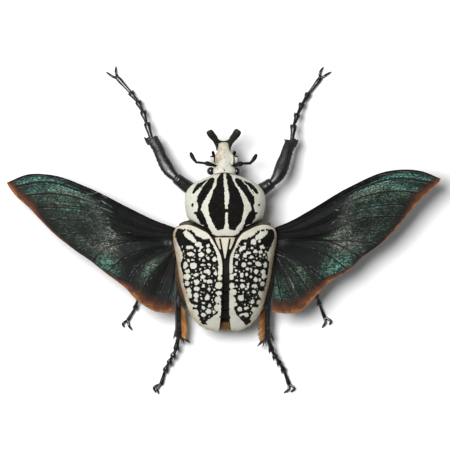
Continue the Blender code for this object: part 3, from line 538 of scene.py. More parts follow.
def marked_shell(name, ragged, grain=1300.0, velvet_roughness=0.92, pale_roughness=0.5, stain_colour=None,
                 bead=False):
    """Pale plates with velvety black marks and a dark rim, or a dark line inside a pale bead."""
    material, wires, shader = new_paint(name, gloss=0.12, IOR=1.5)
    pick_colour = colours()
    pale = wires.group("Ragged Edge", {"Field": wires.field("pale"), "Ragged": ragged, "Grain": grain,
                                       "Softness": 0.1})["Mask"]
    place = wires.place()
    cream = mottled(wires, pick_colour.cream, (0.46, 0.43, 0.33), 260.0, 0.55)
    stain = wires.times(wires.field("ochre"), wires.spread(wires.noise(place, 420.0, detail=5.0), 0.3, 0.62),
                        clamp=True)
    cream = wires.mix(stain, cream, stain_colour or solid_colour(pick_colour.ochre))
    specks = wires.spread(wires.noise(place, 2600.0, detail=2.0), 0.66, 0.74, 0.0, 0.35)
    cream = wires.mix(specks, cream, (0.3, 0.25, 0.16, 1))
    velvet = mottled(wires, pick_colour.velvet, (0.011, 0.01, 0.009), 500.0, 0.8)
    edge = wires.field("rim")
    if bead:
        rim = wires.math("MAXIMUM", wires.spread(edge, 1.0, 1.5), wires.spread(edge, 0.4, 0.9, 1.0, 0.0))
    else:
        rim = wires.spread(edge, 0.14, 0.35)
    base = wires.mix(pale, velvet, cream)
    wires.feed(shader["Base Color"], wires.mix(rim, (0.022, 0.014, 0.008, 1), base))
    rough = wires.plus(wires.times(pale, pale_roughness - velvet_roughness), velvet_roughness)
    rough = wires.plus(rough, wires.spread(wires.noise(place, 700.0), 0.3, 0.7, -0.06, 0.08))
    wires.feed(shader["Roughness"], rough)
    relief = wires.group("Shell Grain", {"Pit Size": 0.3})
    wires.feed(shader["Normal"], wires.bump(wires.plus(relief["Height"], wires.times(pale, 0.6)), 0.00003))
    return material


def glossy_black(name, roughness, pits, gloss):
    """Black chitin with fine punctures and a faint brown drift."""
    if name in bpy.data.materials:
        return bpy.data.materials[name]
    material, wires, shader = new_paint(name, gloss=gloss, IOR=1.5)
    wires.feed(shader["Base Color"], mottled(wires, colours().chitin, (0.01, 0.005, 0.003), 240.0, 0.25))
    relief = wires.group("Shell Grain", {"Pit Scale": 2600.0, "Pit Size": pits, "Grain": 7000.0,
                                         "Grain Share": 0.35})
    rough = wires.noise(wires.place(), 380.0, detail=4.0)
    rough = wires.spread(rough, 0.3, 0.75, roughness, roughness + 0.14)
    wires.feed(shader["Roughness"], wires.plus(rough, wires.times(relief["Pits"], 0.2)))
    wires.feed(shader["Normal"], wires.bump(relief["Height"], 0.00009))
    return material


def trunk_black(name):
    """Black body plates, duller, with an olive pile at the shoulders."""
    material, wires, shader = new_paint(name, gloss=0.2, IOR=1.5)
    place = wires.place()
    base = mottled(wires, (0.003, 0.003, 0.003), (0.014, 0.009, 0.005), 300.0, 0.6)
    pile = wires.spread(wires.noise(wires.stretched(place, (1, 0.3, 1)), 4200.0, detail=2.0), 0.35, 0.7)
    olive = wires.mix(pile, (0.03, 0.026, 0.016, 1), (0.13, 0.105, 0.062, 1))
    wires.feed(shader["Base Color"], wires.mix(wires.field("pile"), base, olive))
    relief = wires.group("Shell Grain", {"Pit Scale": 1700.0, "Pit Size": 0.32, "Grain": 5000.0,
                                         "Grain Share": 0.5})
    wires.feed(shader["Roughness"], wires.spread(wires.noise(place, 260.0, detail=4.0), 0.3, 0.7, 0.5, 0.75))
    wires.feed(shader["Normal"], wires.bump(wires.plus(relief["Height"], pile), 0.00006))
    return material


def eye_gloss():
    """Compound eye: brown-black facets under a clear gloss."""
    material, wires, shader = new_paint("eye_facets", IOR=1.5, Coat_Weight=0.6, Coat_Roughness=0.06,
                                        Roughness=0.3)
    cells = wires.cells(wires.place(), 16000.0)
    wires.feed(shader["Base Color"], wires.mix(wires.spread(cells, 0.2, 0.6), (0.012, 0.006, 0.004, 1),
                                               (0.004, 0.003, 0.003, 1)))
    wires.feed(shader["Normal"], wires.bump(wires.minus(1.0, cells), 0.000006))
    return material


def hair_paint(name, root, middle, tip):
    """Hair: darker at the root, paler at the tip, each lock a little different."""
    if name in bpy.data.materials:
        return bpy.data.materials[name]
    material, wires, shader = new_paint(name, IOR=1.5, Roughness=0.5)
    shade = wires.mix(wires.spread(wires.field("tip"), 0.0, 0.5), solid_colour(root), solid_colour(middle))
    shade = wires.mix(wires.spread(wires.field("tip"), 0.45, 0.95), shade, solid_colour(tip))
    tone = wires.plus(wires.times(wires.field("tone"), 1.15), 0.35)
    tint = wires.node("CombineColor", {0: tone, 1: tone, 2: tone}).outputs[0]
    wires.feed(shader["Base Color"], wires.mix(1.0, shade, tint, blend="MULTIPLY"))
    wires.feed(shader["Normal"], wires.bump(wires.noise(wires.place(), 14000.0, detail=1.0), 0.00001))
    return material


def wing_paint(name):
    """Near-black membrane with painted green, teal and grey sheen and glints between its veins, painted
    highlights beside the veins and along the folds, and rust at its edge.
    """
    pick_colour = colours()
    material, wires, shader = new_paint(name, gloss=0.14, IOR=1.5)
    spread, times = wires.spread, wires.times
    out, back, vein = (wires.field(key) for key in ("out", "back", "vein"))
    fan = wires.node("CombineXYZ", {0: back, 1: times(out, 0.12), 2: 0.0}).outputs[0]
    place = wires.place()
    streaks = wires.noise(fan, 150.0, detail=4.0, roughness=0.65, distortion=0.3)
    crumple = wires.noise(place, 230.0, detail=5.0, roughness=0.6, distortion=1.0)
    fine = wires.noise(wires.stretched(place, (1.0, 1.8, 1.0), (0, 0, 0.5)), 1100.0, roughness=0.75)
    # Painted glints: a fine noise mask that slightly lightens the dark ground and lights the painted sheen
    # below
    glint = spread(fine, 0.47, 0.6)
    patch = times(spread(crumple, 0.33, 0.57, 0.25, 1.0), spread(streaks, 0.34, 0.6, 0.3, 1.0))
    lit = times(patch, wires.plus(times(glint, 0.93), 0.07))
    base = wires.mix(glint, (0.002, 0.0025, 0.0025, 1), solid_colour(pick_colour.wing_dark))
    # Painted sheen: green, teal and grey patches of the wing's iridescence, shown only at the painted
    # glints; teal also sets a little metallic
    painted_sheens = (("green", solid_colour(pick_colour.wing_sheen)), ("teal", (0.19, 0.54, 0.43, 1)),
             ("grey", (0.34, 0.36, 0.29, 1)))
    for key, tint in painted_sheens:
        painted_sheen = times(wires.field(key), lit, clamp=True)
        base = wires.mix(painted_sheen, base, tint)
        if key == "teal":
            wires.feed(shader["Metallic"], times(painted_sheen, 0.25))
    # Painted highlight: thin pale green-grey streaks beside the veins
    beside = times(spread(vein, 0.45, 0.7), spread(vein, 0.75, 1.1, 1.0, 0.0), spread(streaks, 0.5, 0.62),
                   spread(out, 0.35, 0.6), 0.6)
    base = wires.mix(beside, base, (0.16, 0.21, 0.18, 1))
    ridge = times(wires.minus(1.0, spread(vein, 0.25, 0.55)), 0.9)
    base = wires.mix(ridge, base, (0.004, 0.003, 0.003, 1))
    # Painted highlight: small pale grey glints in the fleck patches
    glint_specks = spread(wires.noise(fan, 700.0, detail=3.0, distortion=0.6), 0.55, 0.62)
    base = wires.mix(times(wires.field("painted_glint"), glint_specks, clamp=True), base, (0.42, 0.43, 0.42, 1))
    # Painted highlight: thin silver glints along the fold lines
    painted_fold_highlight = times(spread(wires.field("crease"), 0.35, 0.9), spread(crumple, 0.42, 0.62, 0.1, 0.8),
                   spread(fine, 0.42, 0.58, 0.2, 1.0))
    base = wires.mix(painted_fold_highlight, base, (0.27, 0.31, 0.28, 1))
    rust = wires.plus(wires.field("rust"), times(wires.minus(crumple, 0.5), 1.1))
    for low, high, tint in ((0.05, 0.6, (0.035, 0.010, 0.005, 1)), (0.4, 0.85, (0.085, 0.032, 0.014, 1)),
                            (0.86, 1.14, solid_colour(pick_colour.wing_rim))):
        base = wires.mix(spread(rust, low, high), base, tint)
    wires.feed(shader["Base Color"], base)
    wires.feed(shader["Roughness"], spread(fine, 0.3, 0.7, 0.5, 0.7))
    folds = wires.plus(wires.plus(times(crumple, 0.9), times(fine, 0.45)), times(streaks, 0.35))
    wires.feed(shader["Normal"], wires.bump(folds, 0.00022))
    return material


def pale_floor():
    material, wires, shader = new_paint("studio_floor", gloss=0.0, Roughness=0.9)
    tint = wires.noise(wires.place(), 3.0, detail=1.0)
    wires.feed(shader["Base Color"], wires.mix(tint, (0.93, 0.93, 0.93, 1), (0.95, 0.95, 0.95, 1)))
    return material


# Pronotum

PRONOTUM_EDGE = 1.0
MARK_SPREAD = 0.2
PRONOTUM_BROW = [(5.4, -24.9), (2.9, -26), (.2, -26.5), (-2.6, -26), (-5.4, -24.9)]
PRONOTUM_SIDE = [
    (5.4, -24.9), (9, -23.5), (12.6, -21.8), (15.8, -19.6), (17.7, -16.6), (18.2, -12.6), (17.7, -8.6),
    (16.9, -5.8), (15.6, -4.1),
]
PRONOTUM_BASE = [
    (15.6, -4.1), (11.6, -2.4), (8.3, -.5), (5.8, 2), (4.4, 2.7), (0, 2.8), (-4.4, 2.7), (-5.8, 2),
    (-8.3, -.5), (-11.6, -2.4), (-15.6, -4.1),
]
PRONOTUM_BLACK = [
    [(1.25, -25, .6), (1.6, -24.2, .9), (2.1, -22.7, 1.25), (2.45, -20.8, 1.6), (2.6, -18.1, 2.2),
     (3.2, -15, 2.8), (3.5, -12.7, 3.2), (3.8, -10.9, 3.6), (3.6, -8.7, 3.6), (3.2, -6, 3.2),
     (2.9, -3.7, 2.9), (2.2, -1.5, 1.6)],
    [(-1.2, -25, .6), (-1.6, -24.2, .9), (-2.15, -22.7, 1.15), (-2.9, -20.3, 1.75), (-3.6, -18.2, 2.2),
     (-4, -16.8, 2.5), (-4.5, -14.1, 2.7), (-5, -11.4, 3.5), (-5, -9.1, 3.6), (-4.5, -6.9, 3.1),
     (-4.4, -4.2, 3), (-3.6, -1.9, 1.8)],
    [(.9, -8.7, .7), (-1.8, -8.7, .7)],
    [(5.6, -22.7, .75), (6.6, -21.5, 1.4), (8, -19.4, 2.1), (9.1, -17.6, 2.4), (10.4, -15.2, 2),
     (11.2, -12.9, 1.2), (11.3, -10.9, .5), (11.6, -8.9, .6), (11.3, -6.9, 1.5), (9.9, -4.3, 1.5),
     (7.9, -1.3, 1.2), (6.5, 1.1, .5)],
    [(-5.3, -22.5, .75), (-6.7, -21.2, 1.4), (-8.4, -19.3, 2), (-10, -17, 2.2), (-11.3, -14.9, 1.8),
     (-12.1, -12.9, 1.1), (-12.4, -10.9, .45), (-12.6, -8.9, .6), (-12.2, -6.9, 1.6), (-10.7, -4.3, 1.6),
     (-9, -1.3, .9), (-7.2, .8, .4)],
    [(5.6, -22.8, .7), (8.4, -21.5, .8), (11.4, -20.3, .8), (13, -18.8, .7), (14.1, -17, .45)],
    [(-5.3, -22.6, .7), (-8.4, -21.3, .8), (-11.5, -20, .8), (-13.2, -18.6, .65), (-14.4, -16.8, .45)],
    [(13.7, -7.8, .2), (12.4, -7.4, .7)],
    [(-14.2, -7.8, .2), (-13.2, -7.2, .7)],
    [(14.6, -11.6, .3), (14.7, -11.1, .3)],
    [(-15.2, -11.4, .35), (-15.3, -11.3, .35)],
]
PRONOTUM_WHITE = [
    [(8, -22.2, .4), (9.8, -20.1, .42), (11.7, -17.2, .7), (12.8, -15.4, .5)],
    [(-7.8, -22.2, .4), (-10, -20.1, .42), (-12.2, -16.8, .55), (-13.5, -15, .5)],
    [(3.5, -24.2, .6), (4, -22.8, .6), (4.4, -20.2, .6), (5.65, -18.3, .72), (7.3, -14.9, 1.2),
     (8.8, -11.3, 1.35), (8.9, -8.8, 1.6), (8.2, -6.9, 1.4), (7.4, -4.6, 1.2), (6.3, -1.9, 1.4),
     (5, .3, 1.4)],
    [(-3.3, -24, .6), (-3.9, -22.8, .55), (-5, -20.2, .6), (-6.5, -18.4, .65), (-8.5, -14.9, 1.2),
     (-9.9, -11.3, 1.45), (-9.6, -8.2, 1.5), (-8.6, -5.5, .9), (-8, -3.3, 1), (-6.3, -.6, 1.4)],
    [(.1, -24.9, .75), (0, -22.8, .8), (-.6, -18.5, 1.1), (-.9, -14.9, 1.2), (-.8, -12, 1),
     (-.7, -10.2, .6)],
    [(-.65, -7.4, .7), (-.65, -2.2, .85), (-.5, 1.2, 1.8)],
    [(15.8, -7.3, 1.4), (14.4, -4.6, 1.1), (12.2, -2.6, .6), (9.5, -2, .3)],
    [(-15.8, -7.3, 1.4), (-14.4, -4.6, 1.1), (-12.2, -2.6, .6), (-9.5, -2, .3)],
    [(4.2, 1.6, 1.5), (0, 1.2, 2), (-4.8, 1.4, 1.5)],
]


def make_pronotum():
    across = 0.5 - 0.5 * np.cos(np.linspace(0, math.pi, 161))
    u, v = np.meshgrid(across, np.linspace(0, 1, 131), indexing="ij")
    far_side = [(-x, y) for x, y in PRONOTUM_SIDE]
    plan = coons(path(PRONOTUM_BROW), path(PRONOTUM_BASE), path(PRONOTUM_SIDE), path(far_side))(u, v)
    height = PRONOTUM_UNDERSIDE + PRONOTUM_EDGE + pronotum_rise(v) * arch(2 * u - 1, 2.2)
    piece = sheet("pronotum_shell", plan[..., 0], plan[..., 1], height)
    stamp_rim(piece)
    skirt(piece, PRONOTUM_UNDERSIDE)
    soften(piece, 0.35)
    x, y, z = read_points(piece).T
    layer = piece.data.attributes["rim"].data
    inset = np.empty(len(layer), np.float32)
    layer.foreach_get("value", inset)
    stamp(piece, "rim", inset + 0.8 * np.clip((y + 4.5) / 1.5, 0, 1))
    black = stroke_field(x, y, PRONOTUM_BLACK)
    white = stroke_field(x, y, PRONOTUM_WHITE)
    stamp(piece, "pale", np.maximum(-black, white) - MARK_SPREAD)
    stain = 0.45 * hump(y, 2.9, 0.8) + 0.3 * hump(y, -25.2, 0.8) + 0.5 * hump(z, 18.0, 1.2)
    stamp(piece, "ochre", np.clip(stain, 0, 1))
    velvet = marked_shell("pronotum_velvet", 0.34, grain=1100.0, bead=True)
    dress(piece, velvet, "velvet_shield", "pronotum")


def skirt(piece, level):
    """Draw the open edge of a sheet straight down to a level and close it there."""
    pick(piece)
    bpy.ops.object.mode_set(mode="EDIT")
    bpy.ops.mesh.select_all(action="DESELECT")
    bpy.ops.mesh.select_non_manifold()
    bpy.ops.mesh.extrude_region_move(TRANSFORM_OT_translate={"value": (0, 0, 0)})
    bpy.ops.object.mode_set(mode="OBJECT")
    points = read_points(piece)
    points[[vertex.select for vertex in piece.data.vertices], 2] = level
    write_points(piece, points)
    bpy.ops.object.mode_set(mode="EDIT")
    bpy.ops.mesh.edge_face_add()
    edit(piece, face_outwards)


def stamp_rim(piece):
    """Store each point's distance in millimetres from the open edge of a sheet."""
    points = read_points(piece)
    edges = {}
    for polygon in piece.data.polygons:
        for key in polygon.edge_keys:
            edges[key] = edges.get(key, 0) + 1
    away = np.full(len(points), 99.0)
    for first, second in (key for key, count in edges.items() if count == 1):
        a, line = points[first], points[second] - points[first]
        share = np.clip((points - a) @ line / max(line @ line, 1e-9), 0, 1)
        away = np.minimum(away, np.linalg.norm(points - a - share[:, None] * line, axis=1))
    stamp(piece, "rim", away)


# Wing covers

ELYTRON_BASE = [
    (5.4, 4.2), (7.4, 1.5), (10.8, -.5), (14, -2), (16.8, -2.7), (19.5, -2.4), (22.1, -1.4),
]
ELYTRON_SIDE = [
    (22.1, -1.4), (23.3, 1.2), (23.3, 4.2), (22.5, 9.2), (21.5, 15), (20.5, 22), (18.6, 29), (16.4, 36),
    (14, 40), (11.5, 42.9),
]
ELYTRON_APEX = [(2.5, 45.5), (5.2, 45.3), (8.6, 44.4), (11.5, 42.9)]
ELYTRON_SUTURE = {
    "left": [
        (5.4, 4.2), (3.6, 7.4), (1.9, 10.8), (1.1, 14.4), (1, 20), (1.3, 30), (1.7, 38), (2.5, 45.5),
    ],
    "right": [
        (5.4, 4.2), (4, 7.6), (2.3, 11.2), (1.8, 14.6), (1.8, 20), (1.7, 30), (1.7, 38), (2.5, 45.5),
    ],
}
# Pale oval spots as x, y and half sizes; x counts outwards from the midline
ELYTRON_SPOTS = {
    "left": [
        (12, 6.2, 1.5, 1.2), (15.7, 7.7, 1.8, .8), (15.3, 10.7, 1.8, 1), (10.6, 11, 1.2, 1.2),
        (7.4, 9.2, 1.1, 1.2), (4.8, 13, .9, 1.3), (17.8, 15.6, 1.1, 1.7), (14.3, 15.9, 1.6, 1.5),
        (16.8, 18.4, 1.2, .8), (9.9, 15.6, 1, .6), (7.2, 15.3, .8, .7), (8.1, 18.4, 1.5, .9),
        (7.2, 19.4, .8, .8), (17, 20.9, 1.7, 1.4), (13, 20.1, 1, .9), (9.9, 20.8, 1.2, .8),
        (4.1, 19.4, .9, .9), (2.3, 21.4, 1.1, 1.1), (12.7, 23.2, 1.3, 1.3), (6.9, 22.9, 1.2, 1),
        (17, 23.8, 1.3, 1.1), (9.1, 22.7, .7, .8), (2.8, 24.7, 1.7, 1.6), (9.6, 25, .8, .8),
        (12.7, 26.3, 1.3, .9), (7.1, 26.5, .8, .7), (16.3, 27, 1.3, 1.3), (16, 29.1, 1.3, 1.5),
        (12.9, 29.3, 1.2, 1.4), (2.7, 28.2, 1.4, 1.1), (7.9, 30.1, 1.1, 1.4), (13, 31.4, 1.4, .6),
        (3.1, 31.1, 1.4, 1.7), (9.6, 34.8, .9, 1), (6.9, 33.8, .8, .9), (14.8, 33.9, 1.1, 1),
        (3.6, 34.8, 1.3, 1.7), (7.4, 36.4, 1.2, 1.3), (13.4, 37.2, 1.5, 1.8), (9.7, 38, 1.1, .9),
        (4.9, 36.7, .9, .9), (10.4, 7.7, .9, .7), (11.5, 8.9, .7, .7), (7.6, 12.5, .8, .8),
        (9.6, 13.5, .7, .7), (11.4, 13.3, .5, .7), (14.5, 13.3, .9, .5), (16.5, 13.6, .5, .7),
        (7.6, 6.9, .7, .6), (9.6, 32.6, .9, .6), (13.2, 34.1, 1.1, .6), (10.4, 30.6, .5, .6),
        (11.1, 17.4, .5, .5), (10.7, 19.1, .5, .6),
    ],
    "right": [
        (12.9, 5.2, 1.3, 1.5), (16.5, 7.5, 1.4, .9), (8.3, 7.7, 1, 1), (7.1, 8.6, .9, .9),
        (13.7, 9.5, 1.1, .9), (15.9, 9.7, .9, .9), (10.3, 10.2, 1.1, .7), (9, 11.2, .8, 1),
        (5.3, 11.5, 1.1, 1), (11.7, 12.1, 1, .7), (5.1, 14.8, .7, .9), (8.4, 15.4, 1.1, 1.1),
        (11.1, 14.9, 1, .6), (15, 15.1, 1.3, 1.3), (18, 15.4, .9, 1.5), (13.9, 18.5, 1.1, 1.1),
        (17.1, 18.7, 1.2, 1.2), (17.5, 20.7, 1.3, 1.2), (7.6, 20.2, 1, 1.1), (9.6, 19.9, .7, .8),
        (11.5, 20.8, .6, .6), (13.7, 22, 1, 1.2), (7.9, 25, 1.1, 1.1), (13.4, 25, 1.4, 1),
        (16.8, 24, 1.3, 1.1), (3.6, 27.8, 1.7, 1.5), (3, 25, 1.3, 1.5), (2.8, 20.9, 1.1, 1.7),
        (7.1, 30.3, 1.4, 1.5), (10.3, 24.8, .7, 1.3), (12.9, 27.5, 1, .8), (16.2, 28.8, 1.3, 1.7),
        (15.2, 32.3, 1.1, 1.1), (3.3, 31.1, 1.5, 1.7), (4.4, 33.4, 1.2, 1), (6.6, 35.4, 1.1, 1),
        (9.6, 35, 1, .9), (7.3, 38, .9, .8), (9.5, 38.1, 1.1, 1), (13.2, 35.7, 1.5, 1.2),
        (12.2, 32.1, 1.2, .9), (15.5, 4.8, .7, .7), (12.1, 8, .7, .7), (9.1, 5.8, .7, .6),
        (15.7, 11.6, .5, .5), (10, 17.2, .7, .8), (11.7, 17.8, .4, .9), (5, 17.9, .6, .5),
        (4.3, 19.8, .8, .7), (5.1, 22.4, .6, .5), (7.4, 22.5, .7, .6), (15.7, 22.2, .6, .7),
        (9.6, 26.3, .6, .6), (5.4, 25, .5, .7),
    ],
}
# Pale strokes: the front border, the band down the suture, the shoulder bar and the tip
ELYTRON_BANDS = {
    "left": [
        [(21.6, -1.2, .8), (18.8, -1.6, 1.1), (16.4, -1.4, 1.2), (13.9, -.9, 1.2), (11.5, 1, 1.8),
         (8.9, 2.3, 1.7), (6.6, 3, .8), (5.4, 4.8, .8), (3.9, 7.8, .8), (2.6, 11, 1.1), (2, 14.8, 1),
         (2.1, 19.2, 1.1)],
        [(17.5, 1.3, 1.1), (15.6, 3, 1.3), (13.9, 4.7, 1)],
        [(2.8, 38, .8), (4.2, 39.6, 1.4), (6, 41.3, 1.8), (7.6, 42.8, 1.8), (9.6, 43.9, 1.2)],
        [(2.6, 40, .9), (3, 44, 1.9), (6, 43.8, 1.9)],
        [(12.2, 42.6, .7), (13, 39.8, 1.5), (14.2, 38, 1.5), (15.8, 35.6, 1)],
        [(2.2, 31, .4), (2.3, 34.5, .5), (2.6, 38, .8)],
    ],
    "right": [
        [(21.6, -1.2, .8), (18.8, -1.6, 1.1), (16.4, -1.4, 1.2), (13.9, -.7, 1.2), (11.5, 1, 1.8),
         (8.9, 2.3, 1.7), (6.8, 3.4, .9), (5.6, 5.6, .7), (4.2, 8.2, .7), (2.9, 11.2, .8), (2.6, 15, .9),
         (2.6, 18.6, .9)],
        [(18.3, 1, 1.1), (16.5, 2, 1.4), (14.4, 3.3, 1)],
        [(2.6, 29, .7), (2.7, 33, .8), (3.2, 37, 1.3), (4.4, 40, 1.8), (6.2, 41.8, 1.9), (7.6, 43, 1.8),
         (9.8, 43.7, 1.2)],
        [(3, 42, 1.6), (4.6, 43.8, 1.9)],
        [(2.2, 41, 1), (2.4, 44.6, 1.4)],
        [(12, 42.4, .7), (12.8, 39.8, 1.5), (13.8, 38, 1.5), (15.4, 35.6, 1.1)],
    ],
}
ELYTRON_DARK = {
    "left": [
        [(20.6, .4, 1.2), (20.2, 2.8, 1.4), (19.6, 5.2, .8)],
        [(10.4, 40, .9), (9.7, 41.3, 1)],
        [(9.6, 41.6, .7), (8.2, 42.4, .3)],
        [(8.8, 40.4, .35), (6.4, 39.4, .2)],
    ],
    "right": [
        [(20.4, .4, 1.1), (20.4, 3.2, 1.5), (19, 6.4, .9)],
        [(9.6, 41.6, 1), (10.6, 40.8, 1.1)],
    ],
}
elytron_side_band = profile([
    (-3, 3), (2, 1), (5, 1.6), (8, 2.6), (12, 3.1), (14, 1.9), (20, 1.7), (26, 1.5), (31, 1.8), (36, 2.2),
    (40, 2.4), (43, 2.6),
])
DARTS = 90
DART_GAP = 0.42


def dart_spots(side):
    """Small pale darts scattered between the larger spots, each kept clear of its neighbours."""
    rng = random.Random(SEED + SIDES[side])
    darts = []
    for _ in range(DARTS * 20):
        if len(darts) == DARTS:
            break
        y = rng.uniform(7.0, 40.0)
        x = rng.uniform(3.4, float(back_half_width(y)) - 3.4)
        size = rng.choice((0.22, 0.28, 0.34, 0.42, 0.5))
        spot = (x, y, size * rng.uniform(0.8, 1.25), size * rng.uniform(0.8, 1.4))
        here = np.array([x]), np.array([y])
        nearest = max(spot_field(*here, ELYTRON_SPOTS[side] + darts)[0],
                      stroke_field(*here, ELYTRON_BANDS[side])[0])
        if nearest <= -(size + DART_GAP):
            darts.append(spot)
    return darts


def make_elytron(side):
    """A thin domed wing cover, open along the suture, its shoulder and tip a little swollen."""
    sign = SIDES[side]
    across = np.sin(0.5 * math.pi * np.linspace(0, 1, 95)) ** (2.0 / SQUARENESS)
    along = np.sin(0.5 * math.pi * np.linspace(0, 1, 171)) ** 1.15
    u, v = np.meshgrid(across, along, indexing="ij")
    edges = (ELYTRON_BASE, ELYTRON_APEX, ELYTRON_SUTURE[side], ELYTRON_SIDE)
    plan = coons(*(path(edge) for edge in edges))(u, v)
    x, y = plan[..., 0], plan[..., 1]
    shoulder = 0.5 * hump(x, 18.6, 2.6) * hump(y, 2.4, 3.6)
    swelling = 0.35 * hump(x, 9.6, 2.6) * hump(y, 39.0, 3.0)
    seam = 0.18 * hump(u, 0, 0.035)
    piece = sheet("elytron_shell_" + side, sign * x, y, back_height(x, y) + shoulder + swelling + seam)
    stamp_rim(piece)
    refine(piece, "SOLIDIFY", thickness=sizes().elytron_thickness, offset=-1.0, use_even_offset=False)
    soften(piece, 0.25)
    x, y, _ = read_points(piece).T
    x = sign * x
    bands = stroke_field(x, y, ELYTRON_BANDS[side])
    bands = np.maximum(bands, elytron_side_band(y) - (back_half_width(y) - x))
    pale = np.maximum(bands, spot_field(x, y, ELYTRON_SPOTS[side] + dart_spots(side)) - 0.07)
    stamp(piece, "pale", np.minimum(pale, -stroke_field(x, y, ELYTRON_DARK[side])))
    edge = np.clip(back_half_width(y) - x, 0, None)
    stain = hump(edge, 0, 2.2) + 0.8 * hump(y, 45.2, 1.4) + 0.5 * hump(x, 14.0, 6.0) * hump(y, -0.6, 1.8)
    stamp(piece, "ochre", np.clip(stain, 0, 1))
    dress(piece, marked_shell("elytron_lacquer_" + side, 0.46, grain=950.0, velvet_roughness=0.85,
                              pale_roughness=0.45), "elytron", "elytron_" + side)


def make_scutellum():
    """The long triangle between the bases of the wing covers."""
    half_width, front, apex = 4.5, PRONOTUM_REAR + PRONOTUM_CLEARANCE, 12.6
    share, along = np.meshgrid(np.linspace(-1, 1, 41), np.linspace(0, 1, 61), indexing="ij")
    y = front + (apex - front) * along
    x = (0.3 + (half_width - 0.3) * (1 - along ** 1.25)) * share
    z = back_height(x, y) - 0.15 + 0.25 * (1 - share ** 2) * (1 - along)
    piece = sheet("scutellum_shell", x, y, z)
    stamp(piece, "rim", 9.0)
    refine(piece, "SOLIDIFY", thickness=0.85 * MM, offset=-1.0)
    soften(piece, 0.15, segments=2)
    x, y, _ = read_points(piece).T
    off = np.abs(x)
    reach = (y - front) / (apex - front)
    side_line = 0.2 + 1.7 * (1 - reach)
    outer = np.where(reach < 0.55, off - (side_line + 0.85), -1.0)
    stamp(piece, "pale", np.maximum(np.maximum(side_line - off, outer), 0.5 - (y - front)))
    stamp(piece, "ochre", np.clip(0.35 + 0.4 * hump(y, front, 1.0) + 0.4 * (off > side_line), 0, 1))
    dress(piece, marked_shell("scutellum_velvet", 0.05), "velvet_shield", "scutellum")


# Head

# The head from its front to its rear: place, half width, top and bottom
HEAD_SECTIONS = [
    (-39.6, 2.35, 17.3, 14.8), (-38.4, 2.45, 17.2, 13.9), (-36.6, 2.7, 17.5, 13), (-35.2, 3.1, 17.8, 12.4),
    (-34.2, 3.9, 18, 12), (-32.6, 4.25, 18.5, 11.5), (-30.4, 4.1, 19.2, 11), (-29, 3.7, 19.8, 10.9),
    (-27.8, 4.9, 20.2, 10.8), (-25.5, 5.1, 21, 11),
]
head_middle = profile([(-39.6, .5), (-36.6, .6), (-33, .2), (-25.5, .3)])
EYES = {
    "left": (6.4, -26.7, 15.3),
    "right": (-5.3, -26.65, 15.3),
}
EYE_SIZE = (1.75, 1.85, 1.9)
SOCKET_GAP = 0.12
HEAD_MARKS = [
    [(.35, -33.1, .12), (.3, -32.8, .18)],
    [(.45, -27.5, .1), (.25, -26.9, .3)],
    [(-2, -30.3, .06), (-3.2, -29.1, .16)],
    [(4.5, -34.3, .1), (4.45, -30, .16)],
    [(-4.05, -34, .1), (-4.1, -30, .14)],
    [(5, -29.2, .6), (3.6, -29.1, .15)],
    [(-4.4, -29.2, .6), (-3, -29, .12)],
    [(3.9, -28.2, .06), (2.9, -27.2, .1)],
]
HEAD_STAIN = [
    [(.6, -39, 1.8), (.8, -37, 1.5), (1.6, -35, 1.6), (2.5, -33.2, 1.9), (3.3, -31.4, 1.1),
     (3.9, -30.2, .5)],
    [(.6, -27.9, .35), (.5, -27.5, .3)],
]


def body_ring(y, half_width, side_level, crown, belly, sides, squareness=SQUARENESS):
    """A section of the body: a rounded back over a rounded belly."""
    turn = np.linspace(0, 2 * math.pi, sides + 1)
    cosine, sine = np.cos(turn), np.sin(turn)
    power = 2.0 / squareness
    x = half_width * np.copysign(np.abs(cosine) ** power, cosine)
    depth = np.where(sine >= 0, crown - side_level, side_level - belly)
    z = side_level + depth * np.copysign(np.abs(sine) ** power, sine)
    return np.stack([x, np.full_like(x, y), z], axis=1)


def beside(sign, middle, stations):
    """Stations set off to one side of a middle line."""
    return [(middle + sign * x,) + tuple(rest) for x, *rest in stations]


